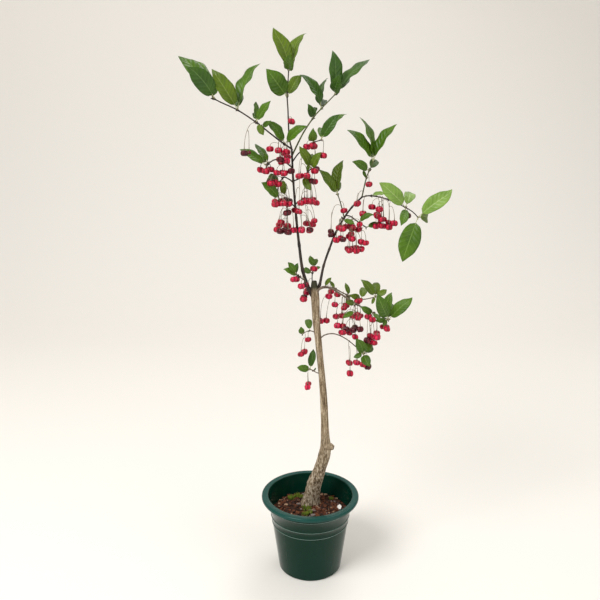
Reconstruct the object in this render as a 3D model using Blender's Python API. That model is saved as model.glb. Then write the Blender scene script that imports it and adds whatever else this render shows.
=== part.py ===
"""A potted spindle tree in fruit, in metres, with +Z up.

The origin is the centre of the pot's flat underside. One bare trunk rises from
the soil and parts into three boughs. Shoots of opposite leaves and spurs of
hanging fruit grow on the trunk and the boughs, each a solid of its own.
"""
import math
import random

import bmesh
import bpy
from mathutils import Vector
from mathutils.bvhtree import BVHTree

# Driving dimensions in metres
POT_RADIUS = 0.075
POT_HEIGHT = 0.1213
POT_MOUTH_RADIUS = 0.0647
POT_BAND_RADIUS = 0.0595
POT_BAND_HEIGHT = 0.082
POT_FOOT_RADIUS = 0.0484
POT_WALL = 0.0016
POT_FLOOR = 0.0022
LIP_DEPTH = 0.0055
LIP_THICKNESS = 0.0022
LOW_RING_HEIGHT = 0.0780
RING_HEIGHTS = (0.0895, 0.1078)
RING_RISE = 0.0006
SOIL_HEIGHT = 0.0940
SOIL_DISH = 0.0020
GAP = 0.0003

# Sizes of the growth in metres
FRUIT_RADIUS = 0.0051
FRUIT_TOP = 0.9 * FRUIT_RADIUS
FRUIT_BULGE = 1.04
STALK_RADIUS = 0.00055
PETIOLE_RADIUS = 0.0007
LEAF_THICKNESS = 0.0010
LEAF_SLENDERNESS = 0.40
LEAF_FOLD = math.radians(24)
LEAF_ARCH = 0.09
CLEARANCE = 0.0006
FLAT_ANGLE = math.radians(1.5)

POT_SIDES = 28
TRUNK_SIDES = 12
BOUGH_SIDES = 6
STEM_SIDES = 4
STALK_SIDES = 3
FRUIT_SIDES = 4
SEED = 11
BOUGH_STEPS = 2
STEM_STEPS = 1
STALK_STEPS = 2
MAIN_STALK_STEPS = 3
BRANCH_SHARES = (0.55, 0.70, 0.42, 0.62, 0.78, 0.48)
GOLDEN_ANGLE = 2.39996
SOIL_FLAT_RADIUS = 0.044
MM = 0.001

# Outline of a leaf with its petiole: share of the length, half width as a share of the full one
LEAF_OUTLINE = ((0.38, 0.92), (0.70, 0.84))
PETIOLE_SHARE = 0.13

# A limb is its parent, the length of its collar on the parent, its sides, and way points
# (x, y, z, radius) in millimetres that start on the parent's axis.
TRUNK = (
    (0, 22, 95, 15.0), (2, 20, 105, 12.6), (7, 15, 131, 11.3), (12, 12, 147, 10.0),
    (17, 9, 165, 9.1), (21.5, 6, 182, 9.2), (23.4, 4, 199, 8.1), (22.4, 2.5, 216, 6.6),
    (21.5, 1, 243, 5.7),
    (19.7, 0, 276, 5.5), (17.3, -1, 307, 4.9), (14.1, -1.5, 339, 4.8), (10.9, -1.5, 370, 4.9),
    (7.8, -1, 400, 5.4), (6.3, -0.5, 430, 6.0), (5.0, 0, 446, 5.6), (4.4, 0, 458, 3.6),
)
TRUNK_KNOB = ((24, 3, 201, 5.4), (31, 0, 200, 4.6), (36, -2, 199, 3.2))
FLARE_LOBES = 3
FLARE_SHARE = 0.20
FLARE_HEIGHT = 0.016
FLARE_TURN = math.radians(315)

BOUGHS = {
    "bough_left": ("trunk", 20, (
        (4, 0, 434, 3.6), (-3, 0, 446, 3.0), (-12, -2, 474, 2.3), (-17, -4, 511, 2.0),
        (-21, -7, 549, 1.7), (-25, -10, 600, 1.5), (-27, -12, 643, 1.4))),
    "bough_right": ("trunk", 20, (
        (7, 1, 438, 2.8), (12.5, 3, 452, 2.1), (18, 5, 479, 1.7), (26, 7, 503, 1.6),
        (35, 10, 526, 1.5), (47, 13, 547, 1.4), (58, 15, 562, 1.3), (72, 17, 576, 1.2))),
    "bough_low": ("trunk", 14, (
        (6, -1, 440, 1.9), (14, -7, 449, 1.6), (27, -9, 450, 1.4), (38, -11, 444, 1.3),
        (48, -13, 438, 1.3), (67, -14, 426, 1.2), (78, -14, 419, 1.1))),
}

# A mass is its limb, collar, the stem's way points in millimetres and its end radii, then leaves
# and fruit. A leaf is its station along the way points, its heading in the XZ plane, its lean
# to the back, its length and the turn of its upper face away from the front, in degrees and
# millimetres. A cyme is its station, the centre of its fruit, their spread and their number.
MASSES = {
    "crown_top_left": dict(limb="bough_left", collar=6, radii=(1.2, 0.8), stem=(
        (-27, -12, 643), (-43, -16, 654), (-56, -20, 664), (-74, -26, 678), (-97, -32, 693),
        (-119, -38, 703), (-128, -40, 708)),
        leaves=(
            (5.6, 127, -30, 57, 8, 0.46), (6, 131, 8, 70, 50), (6, 124, 22, 73, 46),
            (5.8, 130, 62, 50, 30), (4, 122, -12, 61, 24), (4, 67, 18, 72, 55), (4, 112, 60, 50, 20),
            (3, 53, -20, 36, 35), (3, 92, 25, 30, 50), (2.6, 29, -40, 19, 10),
            (2.9, -63, -10, 18, 10, 0.55), (3, 80, 66, 40, 20),
            (0.6, 128, -15, 41, 40), (0.6, 41, -25, 42, 38)),
        cymes=(
            (2.8, -88, -29, 638, 5, 8, 0, 2), (1.0, -46, -24, 642, 9, 6, 3, 4),
            (0.7, -38, -17, 627, 8, 7, 3, 4))),
    "crown_top": dict(limb="bough_left", collar=6, radii=(1.2, 0.8), stem=(
        (-27, -12, 643), (-30, -10, 656), (-31, -9, 668), (-32, -4, 694), (-33, 0, 711),
        (-32, 2, 728), (-31, 3, 745)),
        leaves=(
            (4, 128, -30, 50, 15, 0.54), (4, 58, 10, 36, 15, 0.46), (4, 75, 62, 48, 20),
            (4, 118, 55, 44, 20), (6, 113, -8, 58, 30), (6, 66, 20, 60, 52), (6, 98, 58, 52, 25),
            (6, 84, -62, 40, 20)),
        cymes=((2.6, -27, -12, 679, 0, 0, 0, 1), (1.0, -36, 8, 632, 8, 6, 5, 3))),
    "crown_top_right": dict(limb="bough_left", collar=7, radii=(1.2, 0.7), stem=(
        (-26.7, -11.6, 634), (-12, -4, 663), (3, 4, 685), (13, 8, 696), (25, 13, 708), (35, 17, 718)),
        leaves=(
            (1.9, 107, -40, 26, 10), (1.9, 74, 58, 30, 20), (3, 119, -10, 54, 52), (3, 80, 25, 53, 62),
            (3, 96, 64, 46, 25), (4.6, 92, -5, 58, 34), (5, 45, 15, 67, 62), (5, 62, 60, 52, 25),
            (4.7, 80, -60, 42, 30))),
    "spur_left_high": dict(limb="bough_left", collar=4, radii=(1.1, 0.8), stem=(
        (-26, -11, 618), (-38, -16, 627), (-50, -19, 629), (-61, -20, 622)),
        leaves=((3, 149, -10, 42, 48), (2.8, 123, 20, 35, 52), (2.6, 150, 62, 40, 20)),
        cymes=(
            (1.3, -39, -22, 613, 8, 8, 2, 4), (2.4, -60, -22, 614, 6, 6, 3, 4))),
    "spur_right_high": dict(limb="bough_left", collar=4, radii=(1.0, 0.7), stem=(
        (-26, -11.4, 626), (-18, -16, 637), (-6, -20, 646), (0, -23, 651), (12, -26, 655)),
        leaves=(
            (4, 57, -15, 42, 20), (4, 46, 22, 54, 58), (3.2, 96, -50, 28, 8, 0.46),
            (4, 60, 66, 42, 20)),
        cymes=(
            (3.3, 1, -26, 645, 4, 4, 4, 3), (4, 15, -28, 635, 0, 0, 0, 1),
            (2.4, 6, -14, 616, 3, 8, 3, 2), (1.0, -15, -20, 611, 5, 5, 4, 3))),
    "spur_left_mid": dict(limb="bough_left", collar=4, radii=(1.0, 0.7), stem=(
        (-25, -10, 598), (-31, -14, 603), (-39, -17, 605), (-46, -20, 590), (-44, -23, 576)),
        leaves=((4, 133, -20, 37, 32), (2, -86, 20, 26, 10), (2.4, 170, 55, 34, 20)),
        cymes=(
            (2.0, -51, -20, 597, 10, 8, 3, 5), (3.0, -42, -20, 571, 13, 9, 2, 6),
            (3.6, -32, -16, 558, 5, 8, 1, 2), (2.6, -34, 10, 572, 9, 7, 3, 3))),
    "spur_right_mid": dict(limb="bough_left", collar=4, radii=(1.0, 0.7), stem=(
        (-25, -10, 600), (-14, -13, 605), (-7, -16, 611), (-1, -18, 617)),
        leaves=(
            (3, 121, -20, 37, 32), (3, 63, -30, 31, 20), (3, 88, 60, 38, 20), (1.4, -64, -25, 24, 5, 0.5),
            (2.2, 75, 30, 13, 10)),
        cymes=(
            (1.0, -6, -16, 572, 13, 9, 2, 7), (3.0, 4, -16, 600, 6, 8, 2, 2), (0.6, -19, -18, 559, 4, 8, 1, 2),
            (1.2, -6, 12, 573, 9, 7, 3, 2))),
    "spur_left_low": dict(limb="bough_left", collar=4, radii=(1.0, 0.7), stem=(
        (-22.4, -8, 564), (-28, -10, 569), (-34, -11, 566)),
        leaves=((2, 168, 60, 26, 20),),
        cymes=(
            (2, -36, -13, 532.5, 10, 8, 1.5, 6), (1.4, -42, -11, 544, 0, 0, 0, 1),
            (1.8, -37, 10, 537, 6, 6, 2, 3))),
    "spur_right_low": dict(limb="bough_left", collar=4, radii=(1.0, 0.7), stem=(
        (-22.6, -8.2, 567), (-17, -9, 573), (-11, -10, 570)),
        leaves=((2, 12, 60, 28, 20),),
        cymes=(
            (2, -12, -12, 533, 10, 8, 1.5, 5), (1.6, 4, -13, 546, 0, 0, 0, 1),
            (1.8, -5, 11, 538, 6, 6, 2, 3))),
    "crown_right_pair": dict(limb="bough_right", collar=4, radii=(1.0, 0.7), stem=(
        (47, 13, 547), (43, 9, 562), (40, 6, 572), (37, 3, 580)),
        leaves=((3, 127, -15, 47, 46), (3, 83, 10, 50, 42), (3, 104, 62, 42, 20)),
        cymes=((1.2, 29, 4, 527, 4, 7, 8, 2), (1.8, 46, 6, 558, 0, 0, 0, 1))),
    "crown_right_top": dict(limb="bough_right", collar=4, radii=(1.0, 0.7), stem=(
        (72, 17, 576), (74, 18, 586), (77, 20, 599), (81, 21, 611), (84, 21, 617), (87, 22, 625)),
        leaves=(
            (5, 129, -12, 59, 54), (5, 104, 15, 66, 62), (5, 58, 0, 61, 62), (5, 84, 62, 50, 20),
            (3.1, 149, -30, 34, 15), (2.2, 111, 20, 13, 10), (3.4, 40, 58, 34, 20)),
        cymes=((2.6, 81, 12, 594, 0, 0, 0, 1), (0.8, 66, 12, 567, 5, 8, 0, 2))),
    "crown_right_outer": dict(limb="bough_right", collar=4, radii=(1.0, 0.7), stem=(
        (71.6, 17, 575.6), (84, 13, 578), (107, 3, 574), (130, -8, 564), (140, -12, 558), (147, -14, 551)),
        leaves=(
            (1, 10, -20, 22, 58), (3, 137, -15, 56, 15), (3, -107, -35, 30, 8, 0.46), (5, 38, -5, 60, 28),
            (5, -110, -12, 66, 5, 0.46), (3, 60, 62, 46, 20), (5, -20, 62, 46, 20), (2, 100, 60, 40, 20)),
        cymes=(
            (3.2, 133, -8, 553, 0, 0, 0, 1), (0.7, 72, 10, 553, 5, 8, 1, 2), (1.3, 93, 6, 562, 6, 5, 3, 3), (1.8, 101, 1, 548, 4, 8, 3, 2),
            (1.5, 98, 0, 536.5, 10, 10, 1, 5), (2.3, 111, 0, 542, 3, 8, 2, 2),
            (1.7, 98, 20, 546, 6, 5, 4, 3))),
    "spur_right_inner": dict(limb="bough_right", collar=4, radii=(0.9, 0.7), stem=(
        (46, 12.7, 545), (43, 6, 549), (44, 1, 546)),
        leaves=((2, -16, -20, 19, 20),),
        cymes=(
            (1.6, 40, 2, 533, 7, 9, 2, 5), (1.8, 40, 3, 519, 7, 7, 2, 3))),
    "spur_right_hang": dict(limb="bough_right", collar=4, radii=(0.9, 0.7), stem=(
        (49, 13.4, 550), (55, 6, 550), (64, 4, 544), (77, 2, 535)),
        leaves=((2.2, 34, -30, 27, 52), (3, 5, 20, 24, 30)),
        cymes=(
            (1.4, 60, 4, 537, 6, 8, 2, 3), (1.8, 56, 4, 522, 4, 9, 4, 3), (3, 74, 2, 514, 6, 7, 0, 2),
            (2.2, 62, 4, 503, 11, 11, 1, 6), (1.4, 58, 24, 532, 7, 5, 4, 3))),
    "spray_low_outer": dict(limb="bough_low", collar=3, radii=(1.0, 0.7), stem=(
        (77, -14, 419.5), (85, -15, 416), (93, -16, 413), (110, -18, 405)),
        leaves=(
            (3, 115, -20, 50, 10), (3, 80, 35, 45, 48), (3, 43, -5, 48, 40), (2.8, 176, -30, 20, 10),
            (2.8, -130, -50, 15, 10), (1.6, 147, -20, 25, 10), (1.4, -40, -40, 20, 40), (3, 60, 62, 40, 20)),
        cymes=(
            (3, 106, -19, 394, 4, 4, 2, 3), (2.0, 84, -16, 408, 4, 4, 3, 3),
            (2.4, 91, -17, 382, 11, 6, 2, 4), (1.6, 88, -12, 372, 6, 6, 3, 4))),
    "spray_low_inner": dict(limb="bough_low", collar=3, radii=(0.9, 0.7), stem=(
        (58, -13.5, 432), (62, -18, 428), (62, -21, 419)),
        leaves=((2, -154, -20, 21, 30), (1, 154, -40, 22, 20)),
        cymes=(
            (1.6, 67, -18, 408, 0, 0, 0, 1), (2, 60, -18, 392, 8, 8, 1, 4), (2, 44, -18, 391, 4, 8, 5, 3),
            (1.4, 53, -10, 381, 7, 6, 3, 3))),
    "spray_low_back": dict(limb="trunk", collar=14, radii=(1.2, 0.7), stem=(
        (7, 0, 438), (14, 6, 447), (24, 10, 447), (35, 12, 444), (52, 17, 434), (74, 20, 426),
        (95, 22, 429)),
        leaves=(
            (1.6, 53, 10, 17, 20), (3, 125, 20, 14, 20), (4.2, 106, 10, 20, 30), (5, 154, -30, 24, 15),
            (6, 128, -5, 35, 30), (6, -121, -40, 14, 10), (6, 25, 30, 24, 30), (5, 60, 62, 32, 20),
            (4, -80, 50, 22, 20), (6, 80, 60, 34, 20)),
        cymes=(
            (2.0, 26, 6, 434, 0, 0, 0, 1), (2.6, 37, 10, 437, 4, 8, 3, 2), (2.8, 35, 8, 421, 0, 0, 0, 1),
            (4.0, 49, 14, 416, 5, 8, 1, 2), (5.0, 72, 18, 425, 6, 6, 1, 2), (1.8, 20, 8, 397, 7, 6, 1, 2),
            (5.0, 70, 24, 400, 8, 6, 4, 3), (3.8, 46, 24, 400, 6, 5, 4, 3))),
    "twig_low": dict(limb="trunk", collar=8, radii=(1.0, 0.7), stem=(
        (11, -1.4, 369), (20, -6, 379), (34, -10, 382), (50, -14, 376), (66, -18, 364), (76, -19, 355)),
        leaves=(
            (5, 114, -25, 33, 8, 0.5), (5, 60, 25, 22, 8, 0.5), (5, -63, -50, 24, 8, 0.6),
            (4.8, -159, -20, 16, 10, 0.5), (5, 20, 60, 32, 20)),
        cymes=(
            (3.4, 57, -16, 332, 4, 6, 8, 2), (4.2, 80, -18, 337, 6, 7, 3, 2), (4.0, 68, -4, 338, 4, 4, 4, 2))),
    "spur_fork_left": dict(limb="bough_left", collar=4, radii=(0.9, 0.7), stem=(
        (-7, -1, 458), (-14, -8, 464), (-21, -13, 471)),
        leaves=(
            (2, 122, -10, 22, 20, 0.46), (2, 84, 30, 17, 20), (1.5, 150, -15, 25, 30), (1.2, 60, 60, 22, 20)),
        cymes=(
            (2, -24, -13, 462, 4, 7, 2, 2), (1.0, -10, -10, 454, 5, 7, 0, 2), (1.2, -12, -9, 434, 6, 7, 0, 2))),
    "spur_fork_back": dict(limb="trunk", collar=8, radii=(0.9, 0.6), stem=(
        (4.6, 0.5, 442), (2, 11, 452), (2, 13, 466), (4, 12, 476)),
        leaves=((3, 111, 20, 18, 10, 0.5), (2.4, 20, 30, 14, 30), (3, 60, 58, 20, 20), (2, 160, 50, 22, 20)),
        cymes=((3, 4, 8, 474, 0, 0, 0, 1), (1.4, -4, 20, 438, 5, 4, 2, 2))),
    "twig_left_upper": dict(limb="trunk", collar=8, radii=(0.8, 0.6), stem=(
        (10, -1.5, 380), (0, -5, 385), (-6, -8, 385), (-12, -10, 382)),
        leaves=((1.2, 104, 55, 24, 10, 0.5), (3, 103, -30, 15, 10, 0.6)),
        cymes=((1.6, -4, -9, 373, 0, 0, 0, 1), (3, -10, -11, 354, 6, 7, 0, 2))),
    "twig_left_lower": dict(limb="trunk", collar=7, radii=(0.8, 0.6), stem=(
        (16.4, -1, 317), (8, -4, 321), (3, -6, 325), (-1, -8, 327)),
        leaves=((3, 79, 20, 31, 20), (3, 161, -25, 23, 10, 0.52), (1.6, 60, 0, 6, 10)),
        cymes=((2.8, -3, -9, 303, 4, 8, 1, 2),)),
}

# How a leaf or a fruit is moved aside when its first place isn't free
LEAF_TURNS = ((0, 0), (0, -8), (0, 8), (7, 0), (-7, 0), (0, -16), (0, 16), (10, -14), (-10, 14),
              (14, 0), (-14, 0), (0, 24), (0, -24))
FRUIT_SHIFTS = ((0, 0, 0), (0, -4, 0), (0, 4, 0), (4, 0, 0), (-4, 0, 0), (0, -8, 0), (0, 8, 0),
                (4, -6, -1), (-4, 6, 1), (-4, -6, 1), (4, 6, -1), (0, 0, -4), (7, -4, -3), (-7, 4, -3))


def material(name, colour, roughness, metallic=0.0):
    """A plain Principled material."""
    made = bpy.data.materials.new(name)
    made.use_nodes = True
    shader = made.node_tree.nodes["Principled BSDF"]
    shader.inputs["Base Color"].default_value = (*colour, 1.0)
    shader.inputs["Roughness"].default_value = roughness
    shader.inputs["Metallic"].default_value = metallic
    return made


def mesh_object(name, vertices, faces, finish=None):
    """A closed mesh as an object with its faces pointing out."""
    mesh = bpy.data.meshes.new(name)
    shape = bmesh.new()
    corners = [shape.verts.new(vertex) for vertex in vertices]
    for face in faces:
        shape.faces.new([corners[index] for index in face])
    bmesh.ops.recalc_face_normals(shape, faces=shape.faces)
    shape.to_mesh(mesh)
    shape.free()
    made = bpy.data.objects.new(name, mesh)
    bpy.context.scene.collection.objects.link(made)
    if finish:
        mesh.materials.append(finish)
    return made


def shade(made, angle=math.radians(35)):
    """Smooth shading with sharp edges kept."""
    made.data.shade_smooth()
    made.data.set_sharp_from_angle(angle=angle)


def spline(points, station):
    """The point at a station along way points, on a smooth curve through them."""
    last = len(points) - 1
    index = min(int(station), last - 1)
    share = station - index
    before = points[max(index - 1, 0)]
    start = points[index]
    end = points[index + 1]
    after = points[min(index + 2, last)]
    blended = []
    for a, b, c, d in zip(before, start, end, after):
        cubic = (2 * b + (c - a) * share + (2 * a - 5 * b + 4 * c - d) * share ** 2
                 + (3 * b - a - 3 * c + d) * share ** 3) / 2
        blended.append(cubic)
    return blended


def limb_path(points, steps):
    """Points and radii, in metres, along a limb's way points."""
    count = (len(points) - 1) * steps
    samples = [spline(points, number / steps) for number in range(count + 1)]
    places = [Vector(sample[:3]) * MM for sample in samples]
    return places, [sample[3] * MM for sample in samples]


def split_path(places, radii, length):
    """A path cut in two at a length, with the gap between neighbours left open."""
    walked = 0.0
    for number in range(len(places) - 1):
        step = (places[number + 1] - places[number]).length
        if walked + step > length:
            ahead = (places[number + 1] - places[number]).normalized()
            radius = radii[number] + (radii[number + 1] - radii[number]) * (length - walked) / step
            end = places[number] + ahead * (length - walked)
            start = end + ahead * GAP
            near = (places[:number + 1] + [end], radii[:number + 1] + [radius])
            kept = number + 1
            if (places[kept] - start).length < 2 * GAP:
                kept += 1
            far = ([start] + places[kept:], [radius] + radii[kept:])
            return near, far
        walked += step
    raise ValueError("the collar is longer than the limb")


def frames(places):
    """Two side directions at each point of a path, turned as little as possible."""
    sides = []
    side = None
    for number, place in enumerate(places):
        behind = places[max(number - 1, 0)]
        ahead = places[min(number + 1, len(places) - 1)]
        along = (ahead - behind).normalized()
        if side is None:
            reference = Vector((0, -1, 0)) if abs(along.y) < 0.9 else Vector((1, 0, 0))
            side = (reference - along * reference.dot(along)).normalized()
        else:
            side = (side - along * side.dot(along)).normalized()
        sides.append((side, along.cross(side)))
    return sides


def tube(places, radii, count, form=None):
    """Vertices and faces of a closed tube; form gives each corner's share of the radius."""
    vertices = []
    faces = []
    for number, (first, second) in enumerate(frames(places)):
        for corner in range(count):
            angle = 2 * math.pi * corner / count
            share = form(places[number], angle) if form else 1.0
            reach = radii[number] * share
            vertices.append(places[number] + (first * math.cos(angle) + second * math.sin(angle)) * reach)
    faces.append(tuple(range(count - 1, -1, -1)))
    faces += ring_faces(count, len(places))
    base = (len(places) - 1) * count
    faces.append(tuple(range(base, base + count)))
    return vertices, faces


def ring_faces(count, rings, start=0):
    """Quads between neighbouring rings of the same number of corners."""
    faces = []
    for ring in range(rings - 1):
        low = start + ring * count
        for corner in range(count):
            after = (corner + 1) % count
            faces.append((low + corner, low + after, low + count + after, low + count + corner))
    return faces


class Piece:
    """A closed solid that is fused to its mass; the vertices after root are its free part."""

    def __init__(self, node, vertices, faces, root=0):
        self.node = node
        self.vertices = vertices
        self.faces = faces
        self.root = root
        self.whole = BVHTree.FromPolygons(vertices, faces)
        self.free = BVHTree.FromPolygons(vertices, self.free_faces())
        self.low = [min(vertex[axis] for vertex in vertices) - CLEARANCE for axis in range(3)]
        self.high = [max(vertex[axis] for vertex in vertices) + CLEARANCE for axis in range(3)]

    def free_faces(self):
        return [face for face in self.faces if min(face) >= self.root]

    def grown(self):
        """The vertices moved out from the solid by the clearance."""
        normals = [Vector() for _ in self.vertices]
        for face in self.faces:
            corners = [self.vertices[index] for index in face]
            normal = sum(((corners[number] - corners[0]).cross(corners[number + 1] - corners[0])
                          for number in range(1, len(face) - 1)), Vector())
            for index in face:
                normals[index] += normal
        return [vertex + normal.normalized() * CLEARANCE
                for vertex, normal in zip(self.vertices, normals)]

    def near(self, other):
        return all(self.low[axis] < other.high[axis] and other.low[axis] < self.high[axis]
                   for axis in range(3))

    def is_free(self, placed):
        """Whether it stays clear of other nodes, and its free part of its own node's."""
        neighbours = [other for other in placed if self.near(other)]
        if not neighbours:
            return True
        swollen = self.grown()
        whole = BVHTree.FromPolygons(swollen, self.faces)
        free = BVHTree.FromPolygons(swollen, self.free_faces())
        for other in neighbours:
            if other.node == self.node:
                if free.overlap(other.free):
                    return False
            elif whole.overlap(other.whole):
                return False
        return True


def leaf_piece(node, foot, heading, lean, length, face, slenderness):
    """A folded, arched leaf on its petiole, as one loft of four-cornered rings."""
    heading = math.radians(heading)
    lean = math.radians(lean)
    face = math.radians(face)
    flat = Vector((math.cos(heading), 0, math.sin(heading)))
    along = flat * math.cos(lean) + Vector((0, 1, 0)) * math.sin(lean)
    up = Vector((-along.z, 0, along.x)) * (1 if along.x >= 0 else -1)
    up = (up - along * up.dot(along)).normalized()
    front = along.cross(up)
    if front.y > 0:
        front = -front
    normal = front * math.cos(face) + up * math.sin(face)
    across = along.cross(normal)
    half = length * slenderness / 2
    rings = [(0.0, PETIOLE_RADIUS, 0.0), (PETIOLE_SHARE, PETIOLE_RADIUS, 0.0)]
    rings += [(share, half * width, LEAF_FOLD) for share, width in LEAF_OUTLINE]
    vertices = []
    for share, reach, fold in rings:
        rise = 4 * share * (1 - share) * LEAF_ARCH * length
        middle = foot + along * length * share + normal * rise
        wing = across * reach * math.cos(fold)
        lift = normal * reach * math.sin(fold)
        deep = normal * LEAF_THICKNESS / 2
        vertices += [middle + wing + lift, middle - deep, middle - wing + lift, middle + deep]
    faces = [(3, 2, 1, 0)] + ring_faces(4, len(rings))
    tip = len(vertices)
    vertices.append(foot + along * length)
    base = tip - 4
    faces += [(base + corner, base + (corner + 1) % 4, tip) for corner in range(4)]
    faces = [part for whole in faces for part in triangles(whole)]
    return Piece(node, vertices, faces, root=4)


def triangles(face):
    """A face as a fan of triangles."""
    return [(face[0], face[number], face[number + 1]) for number in range(1, len(face) - 1)]


def hanging(start, end, out, count):
    """Points of a stalk that leaves outwards and ends straight down."""
    reach = (end - start).length
    first = start + out * reach * 0.45
    second = end + Vector((0, 0, 1)) * reach * 0.45
    points = []
    for number in range(count + 1):
        share = number / count
        rest = 1 - share
        points.append(start * rest ** 3 + first * 3 * rest ** 2 * share
                      + second * 3 * rest * share ** 2 + end * share ** 3)
    return points


def fruit_piece(node, start, centre, out, steps):
    """A four-lobed fruit of two rings at the end of its three-sided stalk."""
    top = centre + Vector((0, 0, FRUIT_TOP))
    path = hanging(start, top, out, steps)
    vertices, faces = tube(path, [STALK_RADIUS] * len(path), STALK_SIDES)
    faces.pop()
    neck = len(vertices) - STALK_SIDES
    ring = len(vertices)
    first, second = frames(path)[-1]
    for level in (0.42, -0.42):
        for corner in range(FRUIT_SIDES):
            angle = 2 * math.pi * corner / FRUIT_SIDES
            side = first * math.cos(angle) + second * math.sin(angle)
            vertices.append(centre + side * FRUIT_RADIUS * FRUIT_BULGE + Vector((0, 0, FRUIT_RADIUS * level)))
    stalk = 0
    for corner in range(FRUIT_SIDES):
        after = (corner + 1) % FRUIT_SIDES
        faces.append((neck + stalk, ring + after, ring + corner))
        if (stalk + 1) * FRUIT_SIDES <= (corner + 1) * STALK_SIDES:
            faces.append((neck + stalk, neck + (stalk + 1) % STALK_SIDES, ring + after))
            stalk = (stalk + 1) % STALK_SIDES
    faces += ring_faces(FRUIT_SIDES, 2, ring)
    bottom = ring + FRUIT_SIDES
    tip = len(vertices)
    vertices.append(centre - Vector((0, 0, FRUIT_RADIUS)))
    for corner in range(FRUIT_SIDES):
        faces.append((bottom + corner, bottom + (corner + 1) % FRUIT_SIDES, tip))
    return Piece(node, vertices, faces, root=STALK_SIDES)


def cyme_pieces(node, stem, cyme, rng, placed, steps):
    """Fruit on stalks that leave one main stalk in turn; one with no free place is left out."""
    station, x, y, z, wide, deep, tall, count = cyme
    start = Vector(spline(stem, station)[:3]) * MM
    centre = Vector((x, y, z)) * MM
    main = None
    fruits = []
    turn = rng.uniform(0, 2 * math.pi)
    for number in range(count):
        angle = turn + number * GOLDEN_ANGLE
        share = math.sqrt((number + 0.5) / count)
        level = rng.uniform(-1, 1) if count > 1 else 0
        offset = Vector((math.cos(angle) * wide * share, math.sin(angle) * deep * share, level * tall))
        root = start
        if main:
            root = point_on(main, BRANCH_SHARES[number - 1])
        for shift in FRUIT_SHIFTS:
            place = centre + (offset + Vector(shift)) * MM
            out = place - root
            out.z = 0
            out = out.normalized() if out.length > MM / 2 else Vector((0, -1, 0))
            out = (out + Vector((0, 0, 0.7))).normalized()
            bends = steps if main else MAIN_STALK_STEPS
            piece = fruit_piece(node, root, place, out, bends)
            if piece.is_free(placed + fruits):
                main = main or hanging(root, place + Vector((0, 0, FRUIT_TOP)), out, bends)
                fruits.append(piece)
                break
        if main is None:
            return []
    return fruits


def point_on(path, share):
    """The point at a share of an evenly stepped path."""
    place = share * (len(path) - 1)
    index = min(int(place), len(path) - 2)
    return path[index].lerp(path[index + 1], place - index)


def joined(name, solids, finish):
    """One solid made of overlapping ones by a Boolean union on a collection."""
    made = mesh_object(name, *solids[0], finish)
    if len(solids) > 1:
        others = bpy.data.collections.new(name + "_solids")
        for number, (vertices, faces) in enumerate(solids[1:]):
            others.objects.link(mesh_object(f"{name}_{number}", vertices, faces))
        union = made.modifiers.new("union", "BOOLEAN")
        union.operation = "UNION"
        union.solver = "MANIFOLD"
        union.operand_type = "COLLECTION"
        union.collection = others
        scene_graph = bpy.context.evaluated_depsgraph_get()
        fused = bpy.data.meshes.new_from_object(made.evaluated_get(scene_graph))
        made.modifiers.clear()
        made.data = fused
        for other in list(others.objects):
            bpy.data.objects.remove(other)
        bpy.data.collections.remove(others)
    keep_main_body(made.data)
    shade(made)
    return made


def keep_main_body(mesh):
    """Drops sealed hollows and loose scraps, which are all but the largest shell."""
    shape = bmesh.new()
    shape.from_mesh(mesh)
    waiting = set(shape.faces)
    shells = []
    while waiting:
        shell = {waiting.pop()}
        edge_of = list(shell)
        while edge_of:
            face = edge_of.pop()
            for edge in face.edges:
                for beside in edge.link_faces:
                    if beside in waiting:
                        waiting.discard(beside)
                        shell.add(beside)
                        edge_of.append(beside)
        shells.append(shell)
    shells.sort(key=len)
    for shell in shells[:-1]:
        bmesh.ops.delete(shape, geom=list(shell), context="FACES")
    bmesh.ops.dissolve_limit(shape, angle_limit=FLAT_ANGLE, verts=shape.verts, edges=shape.edges)
    bmesh.ops.triangulate(shape, faces=shape.faces)
    shape.to_mesh(mesh)
    shape.free()


def turned(name, outline, finish):
    """A solid turned about the Z axis from its outline, which starts and ends on the axis."""
    mesh = bpy.data.meshes.new(name)
    shape = bmesh.new()
    points = [shape.verts.new((radius, 0, height)) for radius, height in outline]
    edges = [shape.edges.new(pair) for pair in zip(points, points[1:])]
    bmesh.ops.spin(shape, geom=points + edges, cent=(0, 0, 0), axis=(0, 0, 1),
                   angle=2 * math.pi, steps=POT_SIDES, use_merge=True)
    bmesh.ops.remove_doubles(shape, verts=shape.verts, dist=1e-5)
    bmesh.ops.recalc_face_normals(shape, faces=shape.faces)
    shape.to_mesh(mesh)
    shape.free()
    mesh.materials.append(finish)
    made = bpy.data.objects.new(name, mesh)
    bpy.context.scene.collection.objects.link(made)
    shade(made)
    return made


def wall_radius(height):
    """The radius of the pot's outer wall, which is straight below and above its band."""
    if height < POT_BAND_HEIGHT:
        share = height / POT_BAND_HEIGHT
        return POT_FOOT_RADIUS + (POT_BAND_RADIUS - POT_FOOT_RADIUS) * share
    share = (height - POT_BAND_HEIGHT) / (POT_HEIGHT - POT_BAND_HEIGHT)
    return POT_BAND_RADIUS + (POT_MOUTH_RADIUS + POT_WALL - POT_BAND_RADIUS) * share


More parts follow.
